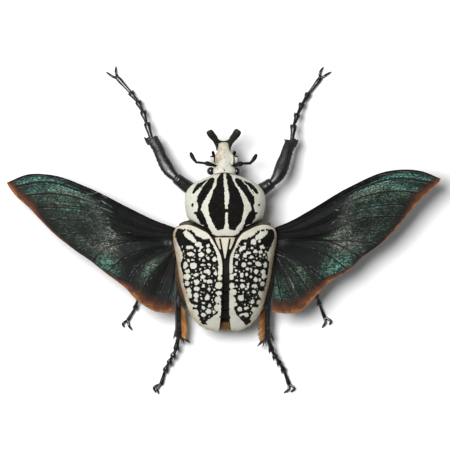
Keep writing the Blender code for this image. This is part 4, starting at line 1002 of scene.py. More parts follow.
def make_head():
    """The pale head: a flat brow, black-tipped side lobes, palps and jaws."""
    sections = profile(HEAD_SECTIONS)
    rings = []
    for y in np.linspace(HEAD_SECTIONS[0][0], HEAD_SECTIONS[-1][0], 80):
        half_width, top, bottom = sections(y)
        ring = body_ring(y, half_width, 0.45 * top + 0.55 * bottom, top, bottom, 64, PLATE_SQUARENESS)
        ring[:, 0] += head_middle(y)
        rings.append(ring)
    pieces = [barrel("skull", rings)]
    for sign in (-1, 1):
        pieces += [
            egg("lobe", (0.5 + sign * 5.3, -31.9, 14.8), (0.95, 1.75, 0.6)),
            limb("cheek", beside(sign, 0.3, [(4.3, -34.0, 13.9, 0.6, 0.5), (4.6, -31.5, 14.0, 0.9, 0.5),
                                             (4.4, -29.2, 14.4, 0.9, 0.6), (4.2, -28.2, 14.4, 0.5, 0.6)])),
            egg("lobe_tip", (0.45 + sign * 5.5, -33.0, 14.6), (0.75, 0.65, 0.5)),
            limb("palp", beside(sign, 0.55, [(3.6, -32.2, 13.5, 0.6, 0.5), (4.5, -33.7, 13.6, 0.65, 0.5),
                                             (4.8, -34.8, 13.7, 0.75, 0.5),
                                             (4.95, -35.7, 13.7, 0.45, 0.35)])),
            limb("jaw", beside(sign, 0.5, [(1.4, -34.6, 13.4, 0.9, 0.6), (1.7, -37.0, 13.5, 0.7, 0.45),
                                           (1.1, -38.4, 13.5, 0.3, 0.3)])),
            limb("brow", beside(sign, 0.3, [(3.5, -34.0, 17.2, 0.3, 0.3), (3.8, -31.4, 17.9, 0.35, 0.4),
                                            (3.4, -29.3, 18.9, 0.3, 0.3)])),
        ]
    head = fuse("head_shell", pieces, 0.13 * MM)
    points = read_points(head)
    x, y, z = points.T
    off = np.abs(x - head_middle(y))
    top = np.clip((z - 15.5) / 1.5, 0, 1)
    crease = 0.35 * hump(off + 0.8 * (y + 29.8), 2.3, 0.3) * hump(y, -29.2, 1.1)
    hollow = 0.3 * hump(off, 2.1, 0.9) * hump(y, -34.2, 2.2)
    keel = 0.25 * hump(off, 0, 0.8) * hump(y, -30.5, 4.5)
    points[:, 2] += top * (keel - crease - hollow)
    socket = np.array(EYE_SIZE) + SOCKET_GAP
    for centre in EYES.values():
        away = (points - centre) / socket
        inside = np.linalg.norm(away, axis=1, keepdims=True) < 1.0
        points = np.where(inside, centre + unit(away) * socket, points)
    write_points(head, points)
    x, y, z = points.T
    off = np.abs(x - head_middle(y))
    pale = np.minimum(np.minimum((z - 14.75) * 0.9, 1.5), np.where(off > 4.6, y + 32.9, 9.0))
    stamp(head, "pale", np.minimum(pale, -stroke_field(x, y, HEAD_MARKS)))
    stamp(head, "ochre", np.clip(0.75 + 1.2 * stroke_field(x, y, HEAD_STAIN), 0, 1.2))
    stamp(head, "rim", 9.0)
    white = marked_shell("head_white", 0.1, grain=1600.0, stain_colour=(0.44, 0.36, 0.25, 1))
    dress(head, white, "head_shell", "head")


def make_eyes():
    for side, centre in EYES.items():
        eye = egg("eye_globe_" + side, centre, EYE_SIZE, segments=64, rings=40)
        smooth_shade(eye, 60)
        dress(eye, eye_gloss(), "eye", "eye_" + side)


# The horn's two arms, each from its root beside the head to its blunt tip, and the web between them
HORN_ARMS = [
    [(3.75, -35.8, 15.8, .2, .5), (3.65, -36.9, 15.9, .4, .8), (3.85, -38.8, 16.2, .9, 1.1),
     (4.5, -41, 17.3, 1.45, 1.2), (5.8, -42.6, 18.5, 1.65, 1.1), (6.6, -43.7, 19.3, 1.65, 1),
     (7.05, -44.45, 19.7, 1.45, .8), (7.25, -44.85, 19.9, 1, .4)],
    [(-2.45, -35.8, 15.8, .2, .5), (-2.2, -36.9, 15.9, .45, .8), (-2.35, -38.8, 16.2, .95, 1.1),
     (-3.35, -41, 17.3, 1.5, 1.2), (-4.7, -42.7, 18.5, 1.7, 1.1), (-5.45, -43.9, 19.3, 1.75, 1),
     (-5.95, -44.65, 19.7, 1.55, .8), (-6.2, -45, 19.9, 1.1, .4)],
]
HORN_WEB = [
    (4.5, -41, 17.1, 1, 1), (3.2, -40.1, 16.5, .95, 1), (1.9, -39.7, 16.3, .75, .9),
    (.6, -39.6, 16.2, .65, .85), (-.7, -39.7, 16.3, .75, .9), (-2, -40.1, 16.5, .95, 1),
    (-3.4, -41, 17.1, 1, 1),
]


def make_horn():
    """The forked horn, which clasps the front of the head."""
    pieces = [limb("arm", stations, sides=28) for stations in [HORN_WEB] + HORN_ARMS]
    horn = fuse("horn_fork", pieces, 0.12 * MM, softness=4)
    dress(horn, glossy_black("horn_black", 0.5, 0.6, 0.4), "black_shell", "horn")


# Each feeler from its socket to the tip of its club, and the half width of its beads
ANTENNAE = {
    "left": (
        [(4.85, -29.2, 16.3), (6.4, -29.6, 16.7), (8.6, -30.1, 16.7), (11, -30.4, 16), (12.9, -30.6, 15.8),
        (14, -32, 15.6), (15.1, -34, 15.5), (15.5, -35.1, 15.5)], .6,
    ),
    "right": (
        [(-4.2, -29.2, 16.3), (-5.6, -29.6, 16.7), (-7.7, -30, 16.7), (-9.8, -30.1, 16),
        (-11.4, -30.2, 15.8), (-12.5, -31.4, 15.6), (-13.7, -33.2, 15.5), (-14.2, -34.3, 15.5)], .66,
    ),
}


def make_antenna(side):
    """A feeler: a swollen first segment, short beads and a club of three flat leaves."""
    points, bead = ANTENNAE[side]
    points = np.array(points, float)
    out = SIDES[side]
    scape = [at(points[0] - (out * 1.1, -0.3, 1.0), 0.55, 0.5), at(points[0], 0.62, 0.5),
             at(points[1], 0.88, 0.7), at(points[2], 0.88, 0.68),
             at(points[2] + (out * 0.5, 0, -0.1), 0.5, 0.45)]
    pieces = [limb("scape", scape, sides=20, start=(out, 0, 0))]
    line = path(points[2:5])
    for share in np.linspace(0.1, 1.0, 6):
        pieces.append(egg("bead", line(share), (bead, bead, bead), segments=20, rings=12))
    for lift, lean in ((-0.34, -0.12), (0.0, 0.0), (0.34, 0.12)):
        shifts = ((0, 0, 0.4 * lift), (0, 0, lift), (lean, 0, lift), (lean, 0, lift))
        leaf = [at(place + shift, wide, 0.2)
                for place, shift, wide in zip(points[4:], shifts, (0.5, 0.8, 0.8, 0.4))]
        pieces.append(limb("leaf", leaf, sides=20))
    feeler = fuse("feeler_" + side, pieces, 0.1 * MM, softness=2)
    dress(feeler, glossy_black("feeler_black_" + side, 0.6, 0.2, 0.2), "black_shell", "antenna_" + side)


# Each leg: places in millimetres, then a bar's half width and half height, or a spine's root width
LEGS = {
    "fore_left": {
        "hip": [(5, -12.8, 11), (11, -14.9, 10.6)], "knee": (22.4, -23.9, 14.4), "femur_size": (2.8, 2.3),
        "knee_size": (2.3, 1.5),
        "tibia": [
            (24.4, -25.9, 14, 2.3, 1.5), (26.4, -28.8, 13.4, 2.6, 1.5), (28.6, -32.9, 12.3, 2.35, 1.4),
            (30.4, -37.2, 11, 2.3, 1.3), (32.9, -41.2, 9.7, 2.35, 1.2),
        ],
        "teeth": [((33.9, -39, 10), (36.5, -42, 9.4), 1.3)],
        "spurs": [((30.9, -40.2, 9.7), (30.2, -42.6, 9.2), .8)],
        "tarsus": [
            (33.5, -41.9, 9.4), (35.3, -48.4, 7.8), (37.1, -53.8, 5.8), (39.4, -58.2, 3.8),
            (42.8, -62.4, 1.9), (48.6, -68.9, .8),
        ],
        "tarsus_size": (.95, 1.35),
        "claws": [((49.4, -71.4), (49.3, -74.2)), ((51.2, -69.7), (53.8, -71.6))],
    },
    "fore_right": {
        "hip": [(-5, -12.4, 11), (-11, -14.3, 10.6)], "knee": (-21.5, -21.7, 14.4),
        "femur_size": (2.8, 2.3), "knee_size": (2.3, 1.5),
        "tibia": [
            (-23, -23.2, 14.1, 2.2, 1.5), (-24.8, -26.3, 13.6, 2.75, 1.5), (-26, -29.6, 12.8, 2.8, 1.45),
            (-27.3, -33.1, 12, 2.5, 1.4), (-28.4, -36.7, 11, 2.35, 1.3), (-30, -40.2, 9.7, 2.4, 1.2),
        ],
        "teeth": [((-30.9, -37.9, 10), (-33.1, -41, 9.4), 1.3)],
        "spurs": [((-27.9, -39.3, 9.7), (-26.8, -41.3, 9.2), .8)],
        "tarsus": [
            (-30.2, -41, 9.4), (-31, -47.5, 7.8), (-32.8, -52.6, 5.8), (-35, -57.3, 3.8),
            (-37.8, -61.8, 1.9), (-43.2, -68.8, .8),
        ],
        "tarsus_size": (.9, 1.35),
        "claws": [((-43, -71.5), (-44.5, -73.9)), ((-45.7, -70.3), (-48.1, -71.6))],
    },
    "mid_left": {
        "hip": [(7.5, 5.4, 9), (12.8, 6.4, 6.3)], "knee": (28, 10.2, 11.6), "femur_size": (2.4, 2),
        "knee_size": (1.6, 1.3),
        "tibia": [
            (30.4, 13, 11.2, 1.5, 1.2), (33.3, 18, 9.4, 1.6, 1.2), (36, 23, 7.4, 2.2, 1.3),
        ],
        "teeth": [((34.4, 17.6, 9.3), (36.6, 19.8, 8.9), .7)],
        "spurs": [
            ((35.2, 23, 7.2), (34.2, 26.2, 6.2), .5), ((37.2, 22.4, 7.4), (39.2, 24.4, 7), .5),
        ],
        "tarsus": [
            (36.4, 23.8, 7.1), (37.3, 26.6, 6.4), (38.3, 29.2, 5.2), (39.4, 32, 3.8), (40.8, 35.5, 2.2),
            (44.1, 41, .8),
        ],
        "tarsus_size": (.75, 1.05), "claws": [((46.2, 42.6), (45.4, 44)), ((43.3, 43.5), (41.8, 45.3))],
    },
    "mid_right": {
        "hip": [(-7.5, 5.4, 9), (-12.8, 6.4, 6.3)], "knee": (-28.6, 9.8, 11.6), "femur_size": (2.4, 2),
        "knee_size": (1.6, 1.3),
        "tibia": [
            (-31.2, 12.6, 11.2, 1.5, 1.2), (-34.4, 17.2, 9.4, 1.6, 1.2), (-37.3, 22, 7.4, 2.2, 1.3),
        ],
        "teeth": [((-35.6, 16.8, 9.3), (-37.9, 18.8, 8.9), .7)],
        "spurs": [
            ((-36.4, 22, 7.2), (-35.6, 25.2, 6.2), .5), ((-38.5, 21.4, 7.4), (-40.6, 23.2, 7), .5),
        ],
        "tarsus": [
            (-37.8, 22.7, 7.1), (-39.2, 25.2, 6.4), (-40.5, 27.8, 5.2), (-41.7, 30.4, 3.8),
            (-42.8, 33.6, 2.2), (-45.2, 39.9, .8),
        ],
        "tarsus_size": (.75, 1.05),
        "claws": [((-47.9, 41.4), (-47.1, 42.9)), ((-45.2, 42), (-43.9, 44.2))],
    },
    "hind_left": {
        "hip": [(7, 19.6, 9), (11.6, 21.4, 6.4)], "knee": (20.9, 29.6, 10.4), "femur_size": (2.7, 2.2),
        "knee_size": (1.7, 1.4),
        "tibia": [
            (21, 33.4, 10.2, 1.6, 1.3), (21, 38.6, 9.2, 1.55, 1.3), (20.9, 43.6, 8, 1.6, 1.2),
            (20.9, 48.2, 6.8, 2, 1.2),
        ],
        "teeth": [((22.1, 45.4, 7.4), (23.3, 49.4, 6.6), .7)],
        "spurs": [
            ((19.6, 47.8, 6.8), (15.4, 51.1, 5.6), .9), ((19.6, 47.4, 5.9), (18.2, 51.9, 4.8), .6),
            ((20.3, 47.4, 5.7), (19.5, 50.8, 4.5), .45),
        ],
        "tarsus": [
            (21.1, 49.2, 6.4), (22.1, 54.1, 5.4), (23.8, 57.3, 4.4), (25.4, 60.3, 3.2), (27.2, 63.7, 2),
            (28.9, 69.9, .8),
        ],
        "tarsus_size": (.85, 1.2), "claws": [((32.2, 71.4), (31.2, 73.6)), ((30.6, 72), (29.9, 74.2))],
    },
    "hind_right": {
        "hip": [(-7, 19.8, 9), (-11.4, 21.8, 6.4)], "knee": (-19.4, 30.6, 10.4), "femur_size": (2.7, 2.2),
        "knee_size": (1.7, 1.4),
        "tibia": [
            (-19.3, 34.4, 10.2, 1.6, 1.3), (-19.2, 39.6, 9.2, 1.6, 1.3), (-19.2, 44.6, 8, 1.6, 1.2),
            (-19.3, 49, 6.8, 2, 1.2),
        ],
        "teeth": [((-20.5, 46.4, 7.4), (-22.1, 50.2, 6.6), .7)],
        "spurs": [
            ((-18, 48.8, 6.8), (-14.5, 52.6, 5.6), .9), ((-18.1, 48.2, 5.9), (-17, 53.2, 4.8), .6),
            ((-18.7, 48.2, 5.7), (-18.2, 51.7, 4.5), .45),
        ],
        "tarsus": [
            (-19.8, 50, 6.4), (-21.3, 54.7, 5.4), (-23.1, 57.8, 4.4), (-25, 60.6, 3.2), (-26.8, 63.7, 2),
            (-29.1, 70, .8),
        ],
        "tarsus_size": (.85, 1.2),
        "claws": [((-28.5, 72.2), (-26.6, 73.6)), ((-31.3, 71.7), (-29.7, 73.3))],
    },
}
FOOT_SEGMENTS = 5
FORE_SWELL = 1.1


# Trunk

def trunk_ring(y, sides, shrink=0.0):
    """A section of the trunk under the wing covers."""
    slope_allowance = 0.09 * max(0.0, y - 22.0)
    ahead = min(y + slope_allowance, ELYTRON_END)
    half_width = back_half_width(y) - CORE_INSET - shrink - shoulder_narrowing(y)
    side = back_margin(y) - 0.6
    crown = back_margin(ahead) + back_rise(ahead) - CORE_CLEARANCE - 0.25 * slope_allowance - shrink
    return body_ring(y, half_width, side, crown, belly_level(y) + shrink, sides)


def hip(leg):
    inner, outer = LEGS[leg]["hip"]
    return limb("hip", [at(inner, 1.9, 1.7), at(outer, 1.7, 1.6)], rows=12, end=np.subtract(outer, inner))


def sink(piece, depths):
    """Press points in along their normals by depths in millimetres."""
    write_points(piece, read_points(piece) - fetch(piece.data.vertex_normals, "vector") * depths[:, None])


def make_prosternum():
    """The underside of the first segment, with the sockets of the fore legs."""
    sections = profile([(PROSTERNUM_FRONT, 3.6, 11.6), (-22.5, 6.6, 10.6), (-19.0, 9.2, 9.8),
                        (-15.0, 10.4, 9.2), (-10.5, 11.0, 8.8), (-7.0, 11.4, 8.6),
                        (THORAX_FRONT - GAP, 12.0, 8.4)])
    top = PRONOTUM_UNDERSIDE - GAP
    rings = []
    for y in np.linspace(PROSTERNUM_FRONT, THORAX_FRONT - GAP, 70):
        half_width, belly = sections(y)
        ring = body_ring(y, half_width, top - 1.5, top, belly, 72, PLATE_SQUARENESS)
        ring[:, 2] = np.minimum(ring[:, 2], top)
        rings.append(ring)
    pieces = [barrel("trunk", rings), hip("fore_left"), hip("fore_right")]
    piece = fuse("prosternum_plates", pieces, 0.3 * MM)
    x, y, z = read_points(piece).T
    bow = 0.02 * x ** 2
    sink(piece, 0.3 * (hump(y - bow, -11.6, 0.35) + 0.6 * hump(y + bow, -16.6, 0.35)) * (z < 15.0))
    stamp(piece, "pile", 0.0)
    dress(piece, trunk_black("prosternum_black"), "body_shell", "prosternum")


def make_thorax():
    """The middle of the trunk, which carries the wings and the rear two pairs of legs."""
    rings = [trunk_ring(y, 96) for y in np.linspace(THORAX_FRONT, WAIST, 90)]
    pieces = [barrel("trunk", rings)] + [hip(pair + side) for pair in ("mid_", "hind_") for side in SIDES]
    for sign in SIDES.values():
        shoulder = [(11.5, -0.9, 17.8, 2.2, 2.1), (15.5, -2.4, 17.8, 2.2, 2.1), (18.6, -2.3, 17.9, 1.6, 1.9),
                    (20.6, -1.9, 17.9, 0.9, 1.4)]
        pieces.append(limb("shoulder", beside(sign, 0, shoulder)))
    piece = fuse("thorax_plates", pieces, 0.32 * MM)
    x, y, z = read_points(piece).T
    off = np.abs(x)
    under = np.clip((14.5 - z) / 2.0, 0, 1)
    groove = hump(x, 0, 0.35) * (y > 7.5) * (y < 19.0) + hump(y - 0.05 * off, 7.6, 0.35)
    groove += hump(y + 0.10 * off, 17.6, 0.4) + 0.7 * hump(off, 13.5, 0.4) * (y > 8.0) * (y < 16.0)
    sink(piece, 0.35 * under * np.clip(groove, 0, 1.2))
    clear_pronotum(piece)
    corner = np.clip((off - 14.4) / 1.6, 0.06, 1)
    stamp(piece, "pile", corner * np.clip((z - 16.0) / 1.5, 0, 1) * np.clip((1.5 - y) / 2.0, 0, 1))
    dress(piece, trunk_black("thorax_black"), "body_shell", "thorax")


def clear_pronotum(piece):
    """Hold the shoulders below and behind the pronotum's rear edge."""
    points = read_points(piece)
    x, y, z = points.T
    base = path([p for p in PRONOTUM_BASE if p[0] >= 0])(np.linspace(0, 1, 60))
    edge = np.interp(np.abs(x), base[::-1, 0], base[::-1, 1])
    level = PRONOTUM_UNDERSIDE - GAP
    points[(y < edge + 0.4) & (z > level) & (np.abs(x) < 16.0), 2] = level
    write_points(piece, points)


def make_abdomen():
    """The rear of the trunk: five overlapping belly plates and the blunt tail plate."""
    plates = 5
    start, end = WAIST + GAP, ABDOMEN_END
    rings = []
    for y in np.linspace(start, end, 130):
        share = (y - start) / (end - start) * plates % 1.0 if y < end else 1.0
        step = 0.4 * np.clip((share - 0.84) / 0.1, 0, 1)
        tail = 1.2 * max(0.0, (y - end + 1.6) / 1.6) ** 2
        rings.append(trunk_ring(y, 96, step + tail))
    piece = barrel("abdomen_plates", rings)
    smooth_shade(piece, 50)
    stamp(piece, "pile", 0.0)
    dress(piece, trunk_black("abdomen_black"), "body_shell", "abdomen")


# Wings

# Veins from root to margin, front to rear, with the strength of each as a ridge
WING_VEINS = {
    "left": [
        (.9, [(21.6, -.8), (31.5, -4.4), (42.8, -9.8), (60.8, -18.8), (78.8, -24.9), (88.5, -25.1),
        (98.2, -21.4)]), (1, [(21.6, .3), (32, -2.4), (44, -7.6), (62, -16.2), (80, -21.8), (97, -19.2)]),
        (.7, [(21.6, 1.3), (33, -.3), (45, -4.9), (58.5, -12), (78, -16.6), (93.8, -15.2)]), (.5,
        [(21.6, 2.3), (34, 1.4), (46, -2.3), (58, -7.8), (74, -10.2), (88.3, -10.2)]), (.5, [(21.6, 3.2),
        (35, 2.8), (47, .2), (58, -4), (70, -4.6), (83, -4.6)]), (.4, [(21.6, 4), (36, 3.5), (48, 2.4),
        (60, 1.2), (76.2, 2.2)]), (.4, [(21.6, 4.7), (36.5, 4.2), (49, 4.2), (58, 6), (67.5, 9)]), (.9,
        [(21.6, 5.4), (34, 4.8), (46, 5.6), (54.5, 8.6), (60, 14.2)]), (.5, [(21.6, 6.4), (33, 7.6),
        (44, 11.2), (53.5, 19.4)]), (.7, [(21.7, 7.4), (29.4, 10.2), (38.2, 15.6), (45.4, 25.5)]), (.5,
        [(21.8, 8.4), (27.8, 14), (34, 21.5), (39.6, 31.5)]), (.4, [(21.9, 9.4), (25.6, 17.6), (29.2, 26.6),
        (32.8, 36)]), (.3, [(22.1, 10.4), (23.2, 19), (24.8, 28), (27.8, 37.1)]), (.3, [(22.3, 11.4),
        (22.6, 19.8), (22.8, 28.6), (22.9, 36.8)]),
    ],
    "right": [
        (.9, [(-21.6, -.8), (-29.2, -3.9), (-38.2, -8.9), (-56.2, -19.5), (-74.2, -26.7), (-88, -26.6),
        (-97, -23.2)]), (1, [(-21.6, .3), (-31, -2.3), (-42, -8.2), (-58, -17.2), (-76, -23.2),
        (-95.8, -21.2)]), (.7, [(-21.6, 1.3), (-32, -.3), (-44, -5.4), (-58, -13.6), (-76, -17.6),
        (-90.8, -16.4)]), (.5, [(-21.6, 2.3), (-33, 1.4), (-45, -2.5), (-58, -8.8), (-72, -11.4),
        (-85.8, -11.4)]), (.5, [(-21.6, 3.2), (-34, 2.8), (-47, .2), (-58, -4.4), (-68, -6), (-81.2, -6)]),
        (.4, [(-21.6, 4), (-35, 3.5), (-48, 2.4), (-60, .4), (-76, .4)]), (.4, [(-21.6, 4.7), (-36, 4.1),
        (-49, 4.4), (-59, 5), (-69.6, 6.4)]), (.9, [(-21.6, 5.4), (-34, 4.6), (-47, 5), (-54, 8),
        (-61.4, 12.4)]), (.5, [(-21.6, 6.4), (-34, 7.4), (-46, 11.2), (-55.6, 18)]), (.7, [(-21.7, 7.4),
        (-29.4, 10.6), (-38.2, 17), (-46.6, 23.6)]), (.5, [(-21.8, 8.4), (-27.8, 14), (-34, 22),
        (-39.8, 30.8)]), (.4, [(-21.9, 9.4), (-25.6, 17.6), (-29.4, 27), (-34, 36.4)]), (.3, [(-22.1, 10.4),
        (-23, 19), (-24.8, 28.4), (-28.2, 37.5)]), (.3, [(-22.3, 11.4), (-22.2, 19.8), (-21.8, 28.6),
        (-21.2, 36.7)]),
    ],
}
# Grid lines between two veins, closer together beside each vein
RIB_STEPS = (0, .05, .11, .19, .32, .5, .68, .81, .89, .95)
# Patches of painted sheen and glints: share of the way out, vein number, spread out, spread across, strength
WING_PATCHES = {
    "left": {
        "green": [
            (.66, 2, .16, .5, 1.3), (.8, 2.2, .14, .5, .9), (.72, 3.6, .16, .7, .5),
            (.56, 5.6, .12, 1.5, .6), (.88, 7.7, .1, .6, .9), (.5, 9.6, .24, .3, 1.2),
            (.86, 5.8, .08, 1.6, .5), (.62, 12.6, .2, .8, .3),
        ],
        "teal": [
            (.84, .75, .13, .3, 1.6), (.66, 1.2, .09, .25, 1.4), (.84, 1.7, .1, .3, .7),
            (.7, 3.05, .1, .12, .9), (.92, 7.8, .07, .5, .8), (.62, 13, .25, .5, .6),
        ],
        "grey": [
            (.66, 1.7, .08, .35, .7), (.54, 5, .06, .9, .6), (.72, 6.4, .1, .8, .8), (.72, 7, .05, .5, .9),
            (.5, 9.5, .1, .15, .7),
        ],
        "painted_glint": [
            (.54, 2.6, .05, 1.1, .5), (.58, 5.2, .06, .8, .6), (.1, 6.8, .05, 1.2, .6),
            (.8, 6.9, .08, .5, .5),
        ],
    },
    "right": {
        "green": [
            (.64, 1.9, .16, .5, 1.3), (.8, 2.1, .14, .5, .9), (.72, 3.5, .16, .7, .5),
            (.56, 5.6, .12, 1.5, .7), (.84, 7.9, .13, .8, 1), (.52, 9.8, .26, .4, 1.2),
            (.86, 5.6, .08, 1.6, .5), (.62, 12, .25, 1.2, .7),
        ],
        "teal": [
            (.84, .75, .13, .3, 1.6), (.64, 1.15, .09, .25, 1.4), (.84, 1.7, .1, .3, .7),
            (.68, 3.05, .1, .12, .9), (.86, 8.1, .1, .6, .9), (.55, 12.4, .2, .7, .5),
        ],
        "grey": [
            (.64, 1.6, .08, .35, .7), (.53, 4.8, .06, .9, .6), (.7, 6.2, .12, .9, .8),
            (.72, 7, .05, .5, .8), (.5, 9.5, .1, .2, .7),
        ],
        "painted_glint": [
            (.52, 2.6, .05, 1.1, .5), (.57, 5, .06, .8, .6), (.1, 6.8, .05, 1.2, .6),
            (.82, 6.7, .08, .5, .5),
        ],
    },
}
# Fold lines pressed into each membrane
WING_CREASES = {
    "left": [
        [(78.2, -12.6, .1), (62.1, -10.8, .1)],
        [(78.9, -5.2, .1), (62.1, -6.3, .1), (52.3, -5.2, .15)],
        [(62.8, -4.5, .1), (55.1, -3.8, .2), (50.9, -3.5, .2)],
        [(62.1, -16.1, .2), (56.5, -17.1, .2), (53, -14.3, .1)],
        [(61.4, -12.2, .1), (55.8, -13.3, .2), (50.9, -10.5, .2)],
        [(58.5, -11.5, .1), (53.6, -9.4, .15), (49.8, -7.7, .1)],
        [(60.5, -8.6, .1), (54.6, -7.9, .2), (49.6, -5.8, .1)],
        [(63.5, 9.8, .15), (59.3, 4.2, .1), (55.8, -1.4, .1)],
        [(60.7, 11.2, .2), (56.5, 9.8, .1), (52.3, 4.2, .2), (50.9, 0, .1)],
        [(55.8, 0, .2), (52.3, -1.4, .2), (49.1, 1.4, .2), (50.9, 4.2, .2)],
        [(49.1, 1.4, .1), (42, 1, .1)],
        [(42.5, 18.9, .05), (39.7, 14.7, .05), (34.1, 10.5, .05), (27.8, 8.4, .1)],
        [(27, 5, .3), (26.6, 6.8, .3)],
        [(24.6, 5.2, .3), (24.4, 6.6, .2)],
    ],
    "right": [
        [(-50.3, -16.4, .1), (-55.8, -14.7, .2), (-59.3, -17.5, .2)],
        [(-49.6, -9.1, .2), (-53, -9.1, .2), (-58.6, -6.3, .1)],
        [(-58.6, -12.9, .15), (-69.8, -14.3, .1), (-83.8, -15.4, .1)],
        [(-55.8, -7.7, .1), (-65.6, -7, .1), (-75.4, -6.3, .05)],
        [(-49, -12.4, .1), (-54.4, -12, .2), (-58.2, -10.4, .1)],
        [(-49.2, -6.6, .1), (-54, -6, .2), (-59.4, -3.6, .1)],
        [(-53.7, -2.8, .2), (-58.6, 3.5, .1), (-62.1, 9.8, .15)],
        [(-55.8, -3.5, .15), (-65.6, 1.4, .1), (-62.8, 11.9, .1)],
        [(-48.1, -2.8, .2), (-49.5, -4.2, .2), (-54.4, -4.2, .2)],
        [(-48.4, -1, .1), (-50.4, 3.2, .2), (-54.6, 6.4, .1)],
        [(-22.9, 10.5, .1), (-27.8, 12.6, .1), (-36.2, 18.2, .05)],
        [(-27.1, 18.2, .1), (-30.6, 25.2, .15), (-34.6, 33.4, .2)],
        [(-23.6, 12.6, .1), (-29.2, 22.4, .05), (-32, 30.8, .1)],
    ],
}
# Reach of the rust in from the margin, in millimetres, by vein number
rust_reach = profile([
    (0, 2), (1, 4), (2.2, 4.4), (3.2, 2.6), (4, 1.4), (5, .9), (8, .9), (9, 3), (10, 5), (11.5, 6.5),
    (13, 6),
])
CREASE_HEIGHT = 0.22


def wing_level(share_out, share_back):
    """Height of a wing's middle surface: it lifts towards the tip and sinks to its rear."""
    lift = 3.0 * share_out - 1.6 * share_out * share_out
    return WING_ROOT_HEIGHT + lift - 1.3 * share_back * share_out


def make_wing(side):
    """A spread hind wing: a crumpled membrane over fanned veins, pleated between them."""
    veins = WING_VEINS[side]
    count = len(veins)
    out = np.linspace(0, 1, 161)
    ribs = np.array([path(points)(out) for _, points in veins])
    strength = np.array([ridge for ridge, _ in veins])
    places = np.array([k + step for k in range(count - 1) for step in RIB_STEPS] + [count - 1.0])
    plan = hermite(np.arange(count, dtype=float), ribs, places)
    x, y = plan[..., 0], plan[..., 1]
    nearest = np.rint(places).astype(int)
    away = np.linalg.norm(plan - ribs[nearest], axis=2)
    power = strength[nearest][:, None]
    back = places[:, None] / (count - 1)
    pleat = 0.4 * np.cos(math.pi * places)[:, None] * np.sin(math.pi * np.clip(out, 0, 0.85) / 0.9)
    ridge = power * hump(away, 0, 0.3) * (1 - 0.6 * out)
    crease = hump(np.maximum(0.2 - stroke_field(x, y, WING_CREASES[side]), 0), 0, 0.3)
    level = wing_level(np.clip(np.abs(x) / WING_REACH, 0, 1), back) + pleat
    level += CREASE_HEIGHT * crease + ridge * sizes().vein_height / MM
    piece = sheet("wing_membrane_" + side, x, y, level)
    inset = -stroke_field(x, y, [[(px, py, 0.0) for px, py in plan[::4, -1]]])
    rust = np.clip(1.15 - inset / np.maximum(rust_reach(places), 0.35)[:, None], 0, 1.15)
    fields = {"out": out, "back": back, "rust": rust, "crease": crease, "vein": away / (0.5 + 0.7 * power)}
    # Strength of the painted sheen and glints of each colour, from its soft patches
    for name, patches in WING_PATCHES[side].items():
        painted_sheen = sum(glint * hump(out, share, spread_out) * hump(places[:, None], vein, spread_back)
                   for share, vein, spread_out, spread_back, glint in patches)
        fields[name] = np.clip(painted_sheen, 0, 1)
    for name, values in fields.items():
        stamp(piece, name, np.broadcast_to(values, x.shape).T.ravel())
    crumples = bpy.data.textures.new("wing_crumples", "CLOUDS")
    crumples.noise_scale = 0.0045
    crumples.noise_depth = 3
    refine(piece, "DISPLACE", texture=crumples, strength=0.45 * MM, mid_level=0.5, direction="Z",
           texture_coords="LOCAL")
    bpy.data.textures.remove(crumples)
    refine(piece, "SOLIDIFY", thickness=sizes().wing_thickness, offset=0.0)
    smooth_shade(piece, 60)
    dress(piece, wing_paint("wing_film_" + side), "wing_membrane", "wing_" + side)


# Legs

FLOOR_GAP = 0.05


def make_leg(leg):
    """A leg's thigh, shin and foot, each a piece of its own."""
    spec = {key: np.array(value, float) if key in ("hip", "knee", "tarsus") else value
            for key, value in LEGS[leg].items()}
    pair, side = leg.split("_")
    black = glossy_black("leg_black", 0.24, 0.36, 0.7)
    for node, pieces, grain, softness, material in (
            ("femur_", thigh_pieces(spec, SIDES[side]), 1.0, 3, black),
            ("tibia_", shin_pieces(spec, SIDES[side], pair == "fore"), 1.0, 3, black),
            ("tarsus_", foot_pieces(spec, SIDES[side], pair == "fore"), 0.9, 2, None)):
        piece = fuse(node + "shell_" + leg, pieces, sizes().leg_grain * grain, softness)
        if node == "tarsus_":
            points = read_points(piece)
            points[:, 2] = np.maximum(points[:, 2], FLOOR_GAP)
            write_points(piece, points)
        dress(piece, material or glossy_black("foot_black", 0.16, 0.12, 0.8), "black_shell", node + leg)


def mitre(spec):
    """The direction of the shared face where thigh and shin meet."""
    return unit(unit(spec["knee"] - spec["hip"][1]) + unit(np.array(spec["tibia"][0][:3]) - spec["knee"]))


def thigh_pieces(spec, out):
    """A swollen thigh with a small ring at its hip and a ridge along its rear."""
    hip_in, start = spec["hip"]
    facing, face = unit(start - hip_in), mitre(spec)
    begin, end = start + facing * GAP, spec["knee"] - face * (0.5 * GAP)
    wide, high = spec["femur_size"]
    swells = ((0.12, 0.6), (0.3, 0.88), (0.55, 1.0), (0.8, 0.95), (0.95, 0.88))
    stations = [at(begin, 1.5, 1.4)]
    stations += [at(begin + share * (end - begin), wide * swell, high * swell) for share, swell in swells]
    stations.append(at(end, *(0.9 * size for size in spec["knee_size"])))
    rear = np.cross(face, UP) * out
    keel = [at(begin + share * (end - begin) + rear * (offset * wide), 0.35, 0.3)
            for share, offset in ((0.2, 0.7), (0.5, 0.98), (0.85, 0.72))]
    return [limb("thigh", stations, sides=40, start=facing, end=face),
            egg("ring", begin + 0.03 * (end - begin), (1.75, 1.75, 1.6)), limb("keel", keel, sides=16)]


